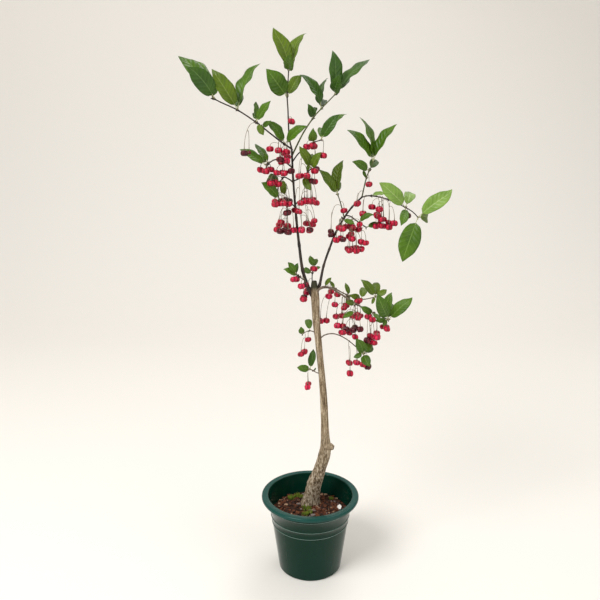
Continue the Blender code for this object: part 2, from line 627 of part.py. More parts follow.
def pot(finish):
    """The pot with its rolled lip, three raised rings and a flat underside."""
    edge = 0.0015
    lip_foot = POT_HEIGHT - LIP_DEPTH
    under_lip = POT_HEIGHT - LIP_THICKNESS
    outline = [(0, 0), (POT_FOOT_RADIUS - edge, 0), (wall_radius(edge), edge)]
    outline += ring_outline(LOW_RING_HEIGHT)
    outline.append((POT_BAND_RADIUS, POT_BAND_HEIGHT))
    for height in RING_HEIGHTS:
        outline += ring_outline(height)
    outline += [
        (wall_radius(under_lip), under_lip),
        (POT_RADIUS - LIP_THICKNESS, under_lip - edge),
        (POT_RADIUS - LIP_THICKNESS, lip_foot),
        (POT_RADIUS - edge / 2, lip_foot),
        (POT_RADIUS, lip_foot + edge),
        (POT_RADIUS, POT_HEIGHT - 1.5 * edge),
        (POT_RADIUS - 1.5 * edge, POT_HEIGHT),
        (POT_MOUTH_RADIUS + edge, POT_HEIGHT - edge / 4),
        (POT_MOUTH_RADIUS, POT_HEIGHT - edge),
        (wall_radius(POT_BAND_HEIGHT) - POT_WALL, POT_BAND_HEIGHT),
        (wall_radius(POT_FLOOR) - POT_WALL, POT_FLOOR), (0, POT_FLOOR)]
    return turned("pot", outline, finish)


def ring_outline(height):
    """The outline of a fine raised ring round the pot's wall."""
    low = height - 2 * RING_RISE
    high = height + 2 * RING_RISE
    return [(wall_radius(low), low), (wall_radius(height) + RING_RISE, height), (wall_radius(high), high)]


def soil(finish):
    """The potting mix, flat under the trunk and a little lower at the wall."""
    inside = POT_WALL + GAP
    brim = SOIL_HEIGHT - SOIL_DISH
    low = POT_FLOOR + GAP
    outline = [(0, low), (wall_radius(low) - inside, low),
               (wall_radius(POT_BAND_HEIGHT) - inside, POT_BAND_HEIGHT),
               (wall_radius(brim) - inside, brim),
               (SOIL_FLAT_RADIUS, SOIL_HEIGHT), (0, SOIL_HEIGHT)]
    return turned("soil", outline, finish)


def flare(place, angle):
    """The share by which the trunk's foot spreads into roots, fading upwards."""
    fade = math.exp(-(place.z - SOIL_HEIGHT) / FLARE_HEIGHT)
    return 1 + FLARE_SHARE * fade * math.cos(FLARE_LOBES * (angle - FLARE_TURN))


def limb_solids():
    """Each limb's solids by its name, with the collars of what grows on it."""
    solids = {"trunk": [tube(*limb_path(TRUNK, 1), TRUNK_SIDES, flare),
                        tube(*limb_path(TRUNK_KNOB, 1), BOUGH_SIDES)]}
    foot = solids["trunk"][0][0]
    for corner in range(TRUNK_SIDES):
        foot[corner].z = SOIL_HEIGHT + GAP
    for name, (parent, collar, points) in BOUGHS.items():
        near, far = split_path(*limb_path(points, BOUGH_STEPS), collar * MM)
        solids[parent].append(tube(*near, BOUGH_SIDES))
        solids[name] = [tube(*far, BOUGH_SIDES)]
    for name, mass in MASSES.items():
        near, far = split_path(*stem_path(mass), mass["collar"] * MM)
        solids[mass["limb"]].append(tube(*near, STEM_SIDES))
        solids[name] = [tube(*far, STEM_SIDES)]
    return solids


def stem_path(mass):
    """A mass's stem with its radius falling from the first way point to the last."""
    points = mass["stem"]
    thick, thin = mass["radii"]
    last = len(points) - 1
    tapered = [(*point, thick + (thin - thick) * number / last) for number, point in enumerate(points)]
    return limb_path(tapered, STEM_STEPS)


def build():
    """Makes every part of the plant and its pot."""
    for old in list(bpy.data.objects):
        bpy.data.objects.remove(old)
    green = material("pot_green", (0.008, 0.045, 0.030), 0.22)
    earth = material("potting_mix", (0.075, 0.030, 0.018), 0.95)
    bark = material("bark", (0.25, 0.19, 0.13), 0.85)
    young_bark = material("young_bark", (0.045, 0.030, 0.022), 0.6)
    growth = material("leaf_and_fruit", (0.10, 0.20, 0.03), 0.4)
    pot(green)
    soil(earth)
    solids = limb_solids()
    placed = [Piece(name, *solid) for name, shapes in solids.items() for solid in shapes]
    for name, mass in MASSES.items():
        for leaf in mass["leaves"]:
            piece = placed_leaf(name, mass["stem"], leaf, placed)
            if piece:
                placed.append(piece)
                solids[name].append((piece.vertices, piece.faces))
    rng = random.Random(SEED)
    for name, mass in MASSES.items():
        for cyme in mass.get("cymes", ()):
            for piece in cyme_pieces(name, mass["stem"], cyme, rng, placed, STALK_STEPS):
                placed.append(piece)
                solids[name].append((piece.vertices, piece.faces))
    for name, shapes in solids.items():
        if name == "trunk":
            finish = bark
        elif name in BOUGHS:
            finish = young_bark
        else:
            finish = growth
        joined(name, shapes, finish)


def placed_leaf(node, stem, leaf, placed):
    """A leaf in its first free turn, or none."""
    station, heading, lean, length, face = leaf[:5]
    slenderness = leaf[5] if len(leaf) > 5 else LEAF_SLENDERNESS
    foot = Vector(spline(stem, station)[:3]) * MM
    for turn, tilt in LEAF_TURNS:
        piece = leaf_piece(node, foot, heading + turn, lean + tilt, length * MM, face, slenderness)
        if piece.is_free(placed):
            return piece
    return None


build()
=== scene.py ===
"""A potted spindle tree in fruit, dressed in bark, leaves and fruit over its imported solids.

Lengths in the tables are millimetres in the row's frame, all others are metres. The tables of limbs
and foliage are those of the solids, apart from the trunk's knob, which is thicker here. What grows
from them is finer than the solids, within about the same reach.
"""
import math
import random

import bpy
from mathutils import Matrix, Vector, noise
from mathutils.bvhtree import BVHTree


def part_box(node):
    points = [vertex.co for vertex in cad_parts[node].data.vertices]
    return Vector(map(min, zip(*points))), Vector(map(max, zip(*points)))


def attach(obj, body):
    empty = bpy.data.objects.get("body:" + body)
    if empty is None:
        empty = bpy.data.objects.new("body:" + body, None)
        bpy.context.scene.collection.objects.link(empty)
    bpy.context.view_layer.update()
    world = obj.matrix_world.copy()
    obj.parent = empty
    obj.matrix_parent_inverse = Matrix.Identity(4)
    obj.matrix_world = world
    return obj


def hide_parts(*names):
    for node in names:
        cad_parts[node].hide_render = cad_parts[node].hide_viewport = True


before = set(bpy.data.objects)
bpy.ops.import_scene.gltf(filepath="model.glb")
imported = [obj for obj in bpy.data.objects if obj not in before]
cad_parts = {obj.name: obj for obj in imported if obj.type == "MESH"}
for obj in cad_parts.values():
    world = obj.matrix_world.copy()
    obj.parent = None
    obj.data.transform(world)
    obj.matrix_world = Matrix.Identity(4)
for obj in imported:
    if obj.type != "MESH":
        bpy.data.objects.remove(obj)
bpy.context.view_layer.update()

# Driving sizes in metres, and the counts, shares and angles that go with them
SOIL_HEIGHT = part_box("soil")[1].z
POT_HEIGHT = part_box("pot")[1].z
POT_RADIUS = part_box("pot")[1].x
POT_MOUTH_RADIUS = 0.0647
POT_BAND_RADIUS = 0.0595
POT_BAND_HEIGHT = 0.082
POT_FOOT_RADIUS = 0.0484
POT_WALL = 0.0016
POT_EDGE = 0.0015
POT_DEPTH_UNDER_MIX = 0.012
POT_SIDES = 120
LIP_DEPTH = 0.0055
LIP_THICKNESS = 0.0022
LOW_RING_HEIGHT = 0.078
RING_HEIGHTS = (0.0895, 0.1078)
RING_RISE = 0.0006
MIX_RINGS = 46
MIX_DIP = 0.0016
MIX_FALL = 0.0022
MIX_FLAT_RADIUS = 0.04
MIX_THICKNESS = 0.011
LITTER_DIP = 0.0012
CRUMB_COUNT = 1500
MOSS_DENSITY = 11000
MOSS_RADII = (0.0004, 0.00045, 0.0001)
FRUIT_RADIUS = 0.0054
FRUIT_TOP = 0.62 * FRUIT_RADIUS
FRUIT_GAP = 1.72 * FRUIT_RADIUS
FRUIT_SIDES = 16
FRUIT_RINGS = 8
DARK_CYME_SHARE = 0.06
MAROON_SHARES = (0.05, 0.7)
PINK_FROM = 0.8
STALK_RADIUS = 0.00032
STALK_END = (1.3, 2.2)
STALK_SIDES = 6
STALK_STEPS = 8
MAIN_STALK_STEPS = 12
PETIOLE_RADIUS = 0.00065
PETIOLE_TAPER = (1.2, 1.0, 0.9, 0.8, 0.5)
PETIOLE_SHARE = 0.13
LEAF_THICKNESS = 0.0004
LEAF_SLENDERNESS = 0.4
LEAF_FOLD = math.radians(24)
LEAF_ARCH = 0.09
LEAF_CUP = 0.2
LEAF_RIPPLES = 15
LEAF_RINGS = 16
LEAF_COLUMNS = 4
ODD_LEAF_SHARE = 0.2
FLARE_LOBES = 3
FLARE_SHARE = 0.2
FLARE_HEIGHT = 0.016
FLARE_TURN = math.radians(315)
PITS_TOP = 0.235
TRUNK_CUT = (0.4435, 0.45)
SPECKLE_DETAIL = 5.0
BOUGH_SIDES = 14
BOUGH_KNUCKLE = (0.22, 0.0016)
STEM_SIDES = 10
STEM_KNUCKLE = (0.55, 0.0014)
STEM_STEPS = 8
STEM_RADII = (1.0, 0.7)
BUD_RADII = (0.0005, 0.00085, 0.0008, 0.00055, 0.0001)
MM = 0.001
SEED = 11
GOLDEN_ANGLE = 2.39996
BRANCH_SHARES = (0.55, 0.7, 0.42, 0.62, 0.78, 0.48)

# Which finish is which in its piece
BARK, CUT = range(2)
POT_GREEN, POT_RIM_PAINTED_LIGHT, POT_RIDGE_PAINTED_HIGHLIGHT = range(3)
RED_CRUMB, DARK_CRUMB, TAN_CHIP, GREY_CHIP, WHITE_CHIP = range(5)
FRESH, OLIVE, DEEP, LIGHT = range(4)
YOUNG, STALK, PETIOLE, GREEN, GREY, BUD = range(6)
CRIMSON, MAROON, PINK = range(3)

# A limb is its way points (x, y, z, radius), which start on its parent's axis.
TRUNK = (
    (0, 22, 95, 15.0), (2, 20, 105, 12.6), (7, 15, 131, 11.3), (12, 12, 147, 10.0), (17, 9, 165, 9.1),
    (21.5, 6, 182, 9.2), (23.4, 4, 199, 8.1), (22.4, 2.5, 216, 6.6), (21.5, 1, 243, 5.7), (19.7, 0, 276, 5.5),
    (17.3, -1, 307, 4.9), (14.1, -1.5, 339, 4.8), (10.9, -1.5, 370, 4.9), (7.8, -1, 400, 5.4),
    (6.3, -0.5, 430, 6.0), (5.0, 0, 446, 5.6), (4.4, 0, 458, 3.6))
TRUNK_KNOB = ((22, 3, 201, 7.6), (29.5, 0, 200, 6.0), (35.5, -2, 199, 3.4))
BOUGHS = {
    "bough_left": (
        (4, 0, 434, 3.6), (-3, 0, 446, 3.0), (-12, -2, 474, 2.3), (-17, -4, 511, 2.0), (-21, -7, 549, 1.7),
        (-25, -10, 600, 1.5), (-27, -12, 643, 1.4)),
    "bough_right": (
        (7, 1, 438, 2.8), (12.5, 3, 452, 2.1), (18, 5, 479, 1.7), (26, 7, 503, 1.6), (35, 10, 526, 1.5),
        (47, 13, 547, 1.4), (58, 15, 562, 1.3), (72, 17, 576, 1.2)),
    "bough_low": (
        (6, -1, 440, 1.9), (14, -7, 449, 1.6), (27, -9, 450, 1.4), (38, -11, 444, 1.3), (48, -13, 438, 1.3),
        (67, -14, 426, 1.2), (78, -14, 419, 1.1)),
}

# A mass is its stem's end radii where they aren't STEM_RADII, the stem's way points, its leaves and its
# cymes of fruit. A leaf is its station along the way points, its heading in the XZ plane, its lean to
# the back, its length, the turn of its upper face away from the front and, at times, its width as a
# share of its length. Angles are in degrees. A cyme is its station, the centre of its fruit, their
# spread along X, Y and Z, and their number.
MASSES = {
    "crown_top_left": dict(radii=(1.2, 0.8), stem=((-27, -12, 643), (-43, -16, 654), (-56, -20, 664),
          (-74, -26, 678), (-97, -32, 693), (-119, -38, 703), (-128, -40, 708)),
        leaves=((5.6, 127, -30, 57, 8, 0.46), (6, 131, 8, 70, 50), (6, 124, 22, 73, 46),
          (5.8, 130, 62, 50, 30), (4, 122, -12, 61, 24), (4, 67, 18, 72, 55), (4, 112, 60, 50, 20),
          (3, 53, -20, 36, 35), (3, 92, 25, 30, 50), (2.6, 29, -40, 19, 10), (2.9, -63, -10, 18, 10, 0.55),
          (3, 80, 66, 40, 20), (0.6, 128, -15, 41, 40), (0.6, 41, -25, 42, 38)),
        cymes=((2.8, -88, -29, 638, 5, 8, 0, 2), (1.0, -46, -24, 642, 9, 6, 3, 4),
          (0.7, -38, -17, 627, 8, 7, 3, 4))),
    "crown_top": dict(radii=(1.2, 0.8), stem=((-27, -12, 643), (-30, -10, 656), (-31, -9, 668),
          (-32, -4, 694), (-33, 0, 711), (-32, 2, 728), (-31, 3, 745)),
        leaves=((4, 128, -30, 50, 15, 0.54), (4, 58, 10, 36, 15, 0.46), (4, 75, 62, 48, 20),
          (4, 118, 55, 44, 20), (6, 113, -8, 58, 30), (6, 66, 20, 60, 52), (6, 98, 58, 52, 25),
          (6, 84, -62, 40, 20)),
        cymes=((2.6, -27, -12, 679, 0, 0, 0, 1), (1.0, -36, 8, 632, 8, 6, 5, 3))),
    "crown_top_right": dict(radii=(1.2, 0.7), stem=((-26.7, -11.6, 634), (-12, -4, 663), (3, 4, 685),
          (13, 8, 696), (25, 13, 708), (35, 17, 718)),
        leaves=((1.9, 107, -40, 26, 10), (1.9, 74, 58, 30, 20), (3, 119, -10, 54, 52), (3, 80, 25, 53, 62),
          (3, 96, 64, 46, 25), (4.6, 92, -5, 58, 34), (5, 45, 15, 67, 62), (5, 62, 60, 52, 25),
          (4.7, 80, -60, 42, 30))),
    "spur_left_high": dict(radii=(1.1, 0.8), stem=((-26, -11, 618), (-38, -16, 627), (-50, -19, 629),
          (-61, -20, 622)),
        leaves=((3, 149, -10, 42, 48), (2.8, 123, 20, 35, 52), (2.6, 150, 62, 40, 20)),
        cymes=((1.3, -39, -22, 613, 8, 8, 2, 4), (2.4, -60, -22, 614, 6, 6, 3, 4))),
    "spur_right_high": dict(stem=((-26, -11.4, 626), (-18, -16, 637), (-6, -20, 646), (0, -23, 651),
          (12, -26, 655)),
        leaves=((4, 57, -15, 42, 20), (4, 46, 22, 54, 58), (3.2, 96, -50, 28, 8, 0.46), (4, 60, 66, 42, 20)),
        cymes=((3.3, 1, -26, 645, 4, 4, 4, 3), (4, 15, -28, 635, 0, 0, 0, 1), (2.4, 6, -14, 616, 3, 8, 3, 2),
          (1.0, -15, -20, 611, 5, 5, 4, 3))),
    "spur_left_mid": dict(stem=((-25, -10, 598), (-31, -14, 603), (-39, -17, 605), (-46, -20, 590),
          (-44, -23, 576)),
        leaves=((4, 133, -20, 37, 32), (2, -86, 20, 26, 10), (2.4, 170, 55, 34, 20)),
        cymes=((2.0, -51, -20, 597, 10, 8, 3, 5), (3.0, -42, -20, 571, 13, 9, 2, 6),
          (3.6, -32, -16, 558, 5, 8, 1, 2), (2.6, -34, 10, 572, 9, 7, 3, 3))),
    "spur_right_mid": dict(stem=((-25, -10, 600), (-14, -13, 605), (-7, -16, 611), (-1, -18, 617)),
        leaves=((3, 121, -20, 37, 32), (3, 63, -30, 31, 20), (3, 88, 60, 38, 20), (1.4, -64, -25, 24, 5, 0.5),
          (2.2, 75, 30, 13, 10)),
        cymes=((1.0, -6, -16, 572, 13, 9, 2, 7), (3.0, 4, -16, 600, 6, 8, 2, 2),
          (0.6, -19, -18, 559, 4, 8, 1, 2), (1.2, -6, 12, 573, 9, 7, 3, 2))),
    "spur_left_low": dict(stem=((-22.4, -8, 564), (-28, -10, 569), (-34, -11, 566)),
        leaves=((2, 168, 60, 26, 20),),
        cymes=((2, -36, -13, 532.5, 10, 8, 1.5, 6), (1.4, -42, -11, 544, 0, 0, 0, 1),
          (1.8, -37, 10, 537, 6, 6, 2, 3))),
    "spur_right_low": dict(stem=((-22.6, -8.2, 567), (-17, -9, 573), (-11, -10, 570)),
        leaves=((2, 12, 60, 28, 20),),
        cymes=((2, -12, -12, 533, 10, 8, 1.5, 5), (1.6, 4, -13, 546, 0, 0, 0, 1),
          (1.8, -5, 11, 538, 6, 6, 2, 3))),
    "crown_right_pair": dict(stem=((47, 13, 547), (43, 9, 562), (40, 6, 572), (37, 3, 580)),
        leaves=((3, 127, -15, 47, 46), (3, 83, 10, 50, 42), (3, 104, 62, 42, 20)),
        cymes=((1.2, 29, 4, 527, 4, 7, 8, 2), (1.8, 46, 6, 558, 0, 0, 0, 1))),
    "crown_right_top": dict(stem=((72, 17, 576), (74, 18, 586), (77, 20, 599), (81, 21, 611), (84, 21, 617),
          (87, 22, 625)),
        leaves=((5, 129, -12, 59, 54), (5, 104, 15, 66, 62), (5, 58, 0, 61, 62), (5, 84, 62, 50, 20),
          (3.1, 149, -30, 34, 15), (2.2, 111, 20, 13, 10), (3.4, 40, 58, 34, 20)),
        cymes=((2.6, 81, 12, 594, 0, 0, 0, 1), (0.8, 66, 12, 567, 5, 8, 0, 2))),
    "crown_right_outer": dict(stem=((71.6, 17, 575.6), (84, 13, 578), (107, 3, 574), (130, -8, 564),
          (140, -12, 558), (147, -14, 551)),
        leaves=((1, 10, -20, 22, 58), (3, 137, -15, 56, 15), (3, -107, -35, 30, 8, 0.46), (5, 38, -5, 60, 28),
          (5, -110, -12, 66, 5, 0.46), (3, 60, 62, 46, 20), (5, -20, 62, 46, 20), (2, 100, 60, 40, 20)),
        cymes=((3.2, 133, -8, 553, 0, 0, 0, 1), (0.7, 72, 10, 553, 5, 8, 1, 2), (1.3, 93, 6, 562, 6, 5, 3, 3),
          (1.8, 101, 1, 548, 4, 8, 3, 2), (1.5, 98, 0, 536.5, 10, 10, 1, 5), (2.3, 111, 0, 542, 3, 8, 2, 2),
          (1.7, 98, 20, 546, 6, 5, 4, 3))),
    "spur_right_inner": dict(radii=(0.9, 0.7), stem=((46, 12.7, 545), (43, 6, 549), (44, 1, 546)),
        leaves=((2, -16, -20, 19, 20),),
        cymes=((1.6, 40, 2, 533, 7, 9, 2, 5), (1.8, 40, 3, 519, 7, 7, 2, 3))),
    "spur_right_hang": dict(radii=(0.9, 0.7), stem=((49, 13.4, 550), (55, 6, 550), (64, 4, 544),
          (77, 2, 535)),
        leaves=((2.2, 34, -30, 27, 52), (3, 5, 20, 24, 30)),
        cymes=((1.4, 60, 4, 537, 6, 8, 2, 3), (1.8, 56, 4, 522, 4, 9, 4, 3), (3, 74, 2, 514, 6, 7, 0, 2),
          (2.2, 62, 4, 503, 11, 11, 1, 6), (1.4, 58, 24, 532, 7, 5, 4, 3))),
    "spray_low_outer": dict(stem=((77, -14, 419.5), (85, -15, 416), (93, -16, 413), (110, -18, 405)),
        leaves=((3, 115, -20, 50, 10), (3, 80, 35, 45, 48), (3, 43, -5, 48, 40), (2.8, 176, -30, 20, 10),
          (2.8, -130, -50, 15, 10), (1.6, 147, -20, 25, 10), (1.4, -40, -40, 20, 40), (3, 60, 62, 40, 20)),
        cymes=((3, 106, -19, 394, 4, 4, 2, 3), (2.0, 84, -16, 408, 4, 4, 3, 3),
          (2.4, 91, -17, 382, 11, 6, 2, 4), (1.6, 88, -12, 372, 6, 6, 3, 4))),
    "spray_low_inner": dict(radii=(0.9, 0.7), stem=((58, -13.5, 432), (62, -18, 428), (62, -21, 419)),
        leaves=((2, -154, -20, 21, 30), (1, 154, -40, 22, 20)),
        cymes=((1.6, 67, -18, 408, 0, 0, 0, 1), (2, 60, -18, 392, 8, 8, 1, 4), (2, 44, -18, 391, 4, 8, 5, 3),
          (1.4, 53, -10, 381, 7, 6, 3, 3))),
    "spray_low_back": dict(radii=(1.2, 0.7), stem=((7, 0, 438), (14, 6, 447), (24, 10, 447), (35, 12, 444),
          (52, 17, 434), (74, 20, 426), (95, 22, 429)),
        leaves=((1.6, 53, 10, 17, 20), (3, 125, 20, 14, 20), (4.2, 106, 10, 20, 30), (5, 154, -30, 24, 15),
          (6, 128, -5, 35, 30), (6, -121, -40, 14, 10), (6, 25, 30, 24, 30), (5, 60, 62, 32, 20),
          (4, -80, 50, 22, 20), (6, 80, 60, 34, 20)),
        cymes=((2.0, 26, 6, 434, 0, 0, 0, 1), (2.6, 37, 10, 437, 4, 8, 3, 2), (2.8, 35, 8, 421, 0, 0, 0, 1),
          (4.0, 49, 14, 416, 5, 8, 1, 2), (5.0, 72, 18, 425, 6, 6, 1, 2), (1.8, 20, 8, 397, 7, 6, 1, 2),
          (5.0, 70, 24, 400, 8, 6, 4, 3), (3.8, 46, 24, 400, 6, 5, 4, 3))),
    "twig_low": dict(stem=((11, -1.4, 369), (20, -6, 379), (34, -10, 382), (50, -14, 376), (66, -18, 364),
          (76, -19, 355)),
        leaves=((5, 114, -25, 33, 8, 0.5), (5, 60, 25, 22, 8, 0.5), (5, -63, -50, 24, 8, 0.6),
          (4.8, -159, -20, 16, 10, 0.5), (5, 20, 60, 32, 20)),
        cymes=((3.4, 57, -16, 332, 4, 6, 8, 2), (4.2, 80, -18, 337, 6, 7, 3, 2),
          (4.0, 68, -4, 338, 4, 4, 4, 2))),
    "spur_fork_left": dict(radii=(0.9, 0.7), stem=((-7, -1, 458), (-14, -8, 464), (-21, -13, 471)),
        leaves=((2, 122, -10, 22, 20, 0.46), (2, 84, 30, 17, 20), (1.5, 150, -15, 25, 30),
          (1.2, 60, 60, 22, 20)),
        cymes=((2, -24, -13, 462, 4, 7, 2, 2), (1.0, -10, -10, 454, 5, 7, 0, 2),
          (1.2, -12, -9, 434, 6, 7, 0, 2))),
    "spur_fork_back": dict(radii=(0.9, 0.6), stem=((4.6, 0.5, 442), (2, 11, 452), (2, 13, 466), (4, 12, 476)),
        leaves=((3, 111, 20, 18, 10, 0.5), (2.4, 20, 30, 14, 30), (3, 60, 58, 20, 20), (2, 160, 50, 22, 20)),
        cymes=((3, 4, 8, 474, 0, 0, 0, 1), (1.4, -4, 20, 438, 5, 4, 2, 2))),
    "twig_left_upper": dict(radii=(0.8, 0.6), stem=((10, -1.5, 380), (0, -5, 385), (-6, -8, 385),
          (-12, -10, 382)),
        leaves=((1.2, 104, 55, 24, 10, 0.5), (3, 103, -30, 15, 10, 0.6)),
        cymes=((1.6, -4, -9, 373, 0, 0, 0, 1), (3, -10, -11, 354, 6, 7, 0, 2))),
    "twig_left_lower": dict(radii=(0.8, 0.6), stem=((16.4, -1, 317), (8, -4, 321), (3, -6, 325),
          (-1, -8, 327)),
        leaves=((3, 79, 20, 31, 20), (3, 161, -25, 23, 10, 0.52), (1.6, 60, 0, 6, 10)),
        cymes=((2.8, -3, -9, 303, 4, 8, 1, 2),)),
}

# How a leaf is turned and tilted, in degrees, or a fruit moved, when its first place isn't free
LEAF_TURNS = (
    (0, 0), (0, -8), (0, 8), (7, 0), (-7, 0), (0, -16), (0, 16), (10, -14), (-10, 14), (14, 0), (-14, 0),
    (0, 24), (0, -24))
FRUIT_SHIFTS = (
    (0, 0, 0), (0, -4, 0), (0, 4, 0), (4, 0, 0), (-4, 0, 0), (0, -8, 0), (0, 8, 0), (4, -6, -1), (-4, 6, 1),
    (-4, -6, 1), (4, 6, -1), (0, 0, -4), (7, -4, -3), (-7, 4, -3))


def spline(points, station):
    """The point at a station along way points, on a smooth curve through them."""
    last = len(points) - 1
    index = min(int(station), last - 1)
    share = station - index
    before = points[max(index - 1, 0)]
    start = points[index]
    end = points[index + 1]
    after = points[min(index + 2, last)]
    return [(2 * b + (c - a) * share + (2 * a - 5 * b + 4 * c - d) * share ** 2
             + (3 * b - a - 3 * c + d) * share ** 3) / 2
            for a, b, c, d in zip(before, start, end, after)]


def on_stem(stem, station):
    """The place, in metres, at a station along a stem."""
    return Vector(spline(stem, station)[:3]) * MM


def limb_path(points, steps):
    """Points and radii, in metres, along a limb's way points."""
    count = (len(points) - 1) * steps
    samples = [spline(points, number / steps) for number in range(count + 1)]
    places = [Vector(sample[:3]) * MM for sample in samples]
    return places, [sample[3] * MM for sample in samples]


def stem_points(mass):
    """A stem's way points with its radius falling from the first to the last."""
    thick, thin = mass.get("radii", STEM_RADII)
    last = len(mass["stem"]) - 1
    return [(*point, thick + (thin - thick) * number / last) for number, point in enumerate(mass["stem"])]


def path_lengths(places):
    """How far along a path each of its points is."""
    walked = [0.0]
    for number in range(1, len(places)):
        walked.append(walked[-1] + (places[number] - places[number - 1]).length)
    return walked


def frames(places):
    """Two side directions at each point of a path, turned as little as possible."""
    sides = []
    side = None
    for number in range(len(places)):
        behind = places[max(number - 1, 0)]
        ahead = places[min(number + 1, len(places) - 1)]
        along = (ahead - behind).normalized()
        if side is None:
            reference = Vector((0, -1, 0)) if abs(along.y) < 0.9 else Vector((1, 0, 0))
            side = (reference - along * reference.dot(along)).normalized()
        else:
            side = (side - along * side.dot(along)).normalized()
        sides.append((side, along.cross(side)))
    return sides


class Mesh:
    """Vertices, faces, materials and map places gathered for one joined piece."""

    def __init__(self):
        self.vertices = []
        self.faces = []
        self.kinds = []
        self.places = []

    def add(self, vertices, faces, places=None, kind=0):
        start = len(self.vertices)
        self.vertices += vertices
        self.faces += [tuple(start + index for index in face) for face in faces]
        self.kinds += [kind] * len(faces)
        self.places += places or [(0.0, 0.0)] * len(vertices)

    def made(self, name, finishes):
        mesh = bpy.data.meshes.new(name)
        mesh.from_pydata(self.vertices, [], self.faces)
        for finish in finishes:
            mesh.materials.append(finish)
        mesh.polygons.foreach_set("material_index", self.kinds)
        layer = mesh.uv_layers.new(name="places")
        for loop in mesh.loops:
            layer.data[loop.index].uv = self.places[loop.vertex_index]
        mesh.update()
        mesh.shade_smooth()
        made = bpy.data.objects.new(name, mesh)
        bpy.context.scene.collection.objects.link(made)
        return made


def around(radius, angle, height):
    """The point at an angle round the Z axis."""
    return Vector((radius * math.cos(angle), radius * math.sin(angle), height))


def ring_faces(count, rings):
    """Quads between neighbouring rings of the same number of corners."""
    return [(ring * count + corner, ring * count + (corner + 1) % count,
             (ring + 1) * count + (corner + 1) % count, (ring + 1) * count + corner)
            for ring in range(rings - 1) for corner in range(count)]


def poled_faces(count, rings, flipped=False):
    """Faces of rings that a single vertex closes before the first and after the last."""
    last = 1 + rings * count
    base = last - count
    faces = [(0, 1 + (corner + 1) % count, 1 + corner) for corner in range(count)]
    faces += [tuple(1 + index for index in face) for face in ring_faces(count, rings)]
    faces += [(base + corner, base + (corner + 1) % count, last) for corner in range(count)]
    return [(face[0], *reversed(face[1:])) for face in faces] if flipped else faces


def tube(places, radii, count, form=None):
    """Vertices, faces and map places of a closed tube; form gives each corner's share of the radius."""
    vertices = []
    spots = []
    walked = 0.0
    for number, (first, second) in enumerate(frames(places)):
        if number:
            walked += (places[number] - places[number - 1]).length
        for corner in range(count):
            angle = 2 * math.pi * corner / count
            share = form(places[number], angle, walked) if form else 1.0
            reach = radii[number] * share
            vertices.append(places[number] + (first * math.cos(angle) + second * math.sin(angle)) * reach)
            spots.append((corner / count, walked * 10))
    faces = [tuple(range(count - 1, -1, -1))] + ring_faces(count, len(places))
    base = (len(places) - 1) * count
    faces.append(tuple(range(base, base + count)))
    return vertices, faces, spots


# Finishes


class Finish:
    """A Principled material and the nodes that feed it."""

    def __init__(self, name, roughness, specular):
        self.made = bpy.data.materials.new(name)
        self.made.use_nodes = True
        self.nodes = self.made.node_tree.nodes
        self.shader = self.nodes["Principled BSDF"].inputs
        self.feed(self.shader, {"Roughness": roughness, "Specular IOR Level": specular})

    def feed(self, inputs, values):
        """Set inputs, or link those whose value is the outlet of a node."""
        for name, value in values.items():
            if isinstance(value, bpy.types.NodeSocket):
                self.made.node_tree.links.new(value, inputs[name])
            else:
                inputs[name].default_value = value

    def node(self, kind, values):
        made = self.nodes.new("ShaderNode" + kind)
        self.feed(made.inputs, values)
        return made

    def coordinates(self, kind):
        return self.nodes.new("ShaderNodeTexCoord").outputs[kind]

    def split(self, kind):
        """The outlets X, Y and Z of one kind of coordinates."""
        return self.node("SeparateXYZ", {"Vector": self.coordinates(kind)}).outputs

    def grain(self, scale, detail, stretch=None):
        """A noise over the piece's own coordinates, stretched along an axis if asked."""
        outlet = self.coordinates("Object")
        if stretch:
            outlet = self.node("Mapping", {"Scale": stretch, "Vector": outlet}).outputs["Vector"]
        return self.node("TexNoise", {"Scale": scale, "Detail": detail, "Vector": outlet}).outputs["Fac"]

    def ramp(self, source, stops):
        """A colour ramp fed by a value; stops are (place, colour)."""
        made = self.node("ValToRGB", {"Fac": source})
        elements = made.color_ramp.elements
        while len(elements) < len(stops):
            elements.new(0.5)
        for element, (place, colour) in zip(elements, stops):
            element.position = place
            element.color = (*colour, 1.0)
        return made.outputs["Color"]

    def calc(self, operation, first, second=0.5):
        """The outcome of an operation; those on one value leave the second out."""
        made = self.node("Math", {0: first, 1: second})
        made.operation = operation
        return made.outputs["Value"]

    def rise(self, value, start, end):
        """A value that goes from 0 at the start to 1 at the end."""
        made = self.node("MapRange", {"From Min": start, "From Max": end, "Value": value})
        return made.outputs["Result"]

    def mix(self, factor, first, second):
        """The first colour, turned into the second by a factor."""
        made = self.nodes.new("ShaderNodeMix")
        made.data_type = "RGBA"
        self.feed(made.inputs, {"Factor": factor, "A": first, "B": second})
        return made.outputs["Result"]

    def colour(self, value):
        self.feed(self.shader, {"Base Color": value})

    def bump(self, height, strength, distance=0.001):
        made = self.node("Bump", {"Strength": strength, "Distance": distance, "Height": height})
        self.feed(self.shader, {"Normal": made.outputs["Normal"]})


def speckled(name, stops, scale, roughness, specular, stretch=None, relief=0.0):
    """A material whose colour follows a noise through a ramp."""
    finish = Finish(name, roughness, specular)
    value = finish.grain(scale, SPECKLE_DETAIL, stretch)
    finish.colour(finish.ramp(value, stops))
    if relief:
        finish.bump(value, relief)
    return finish.made


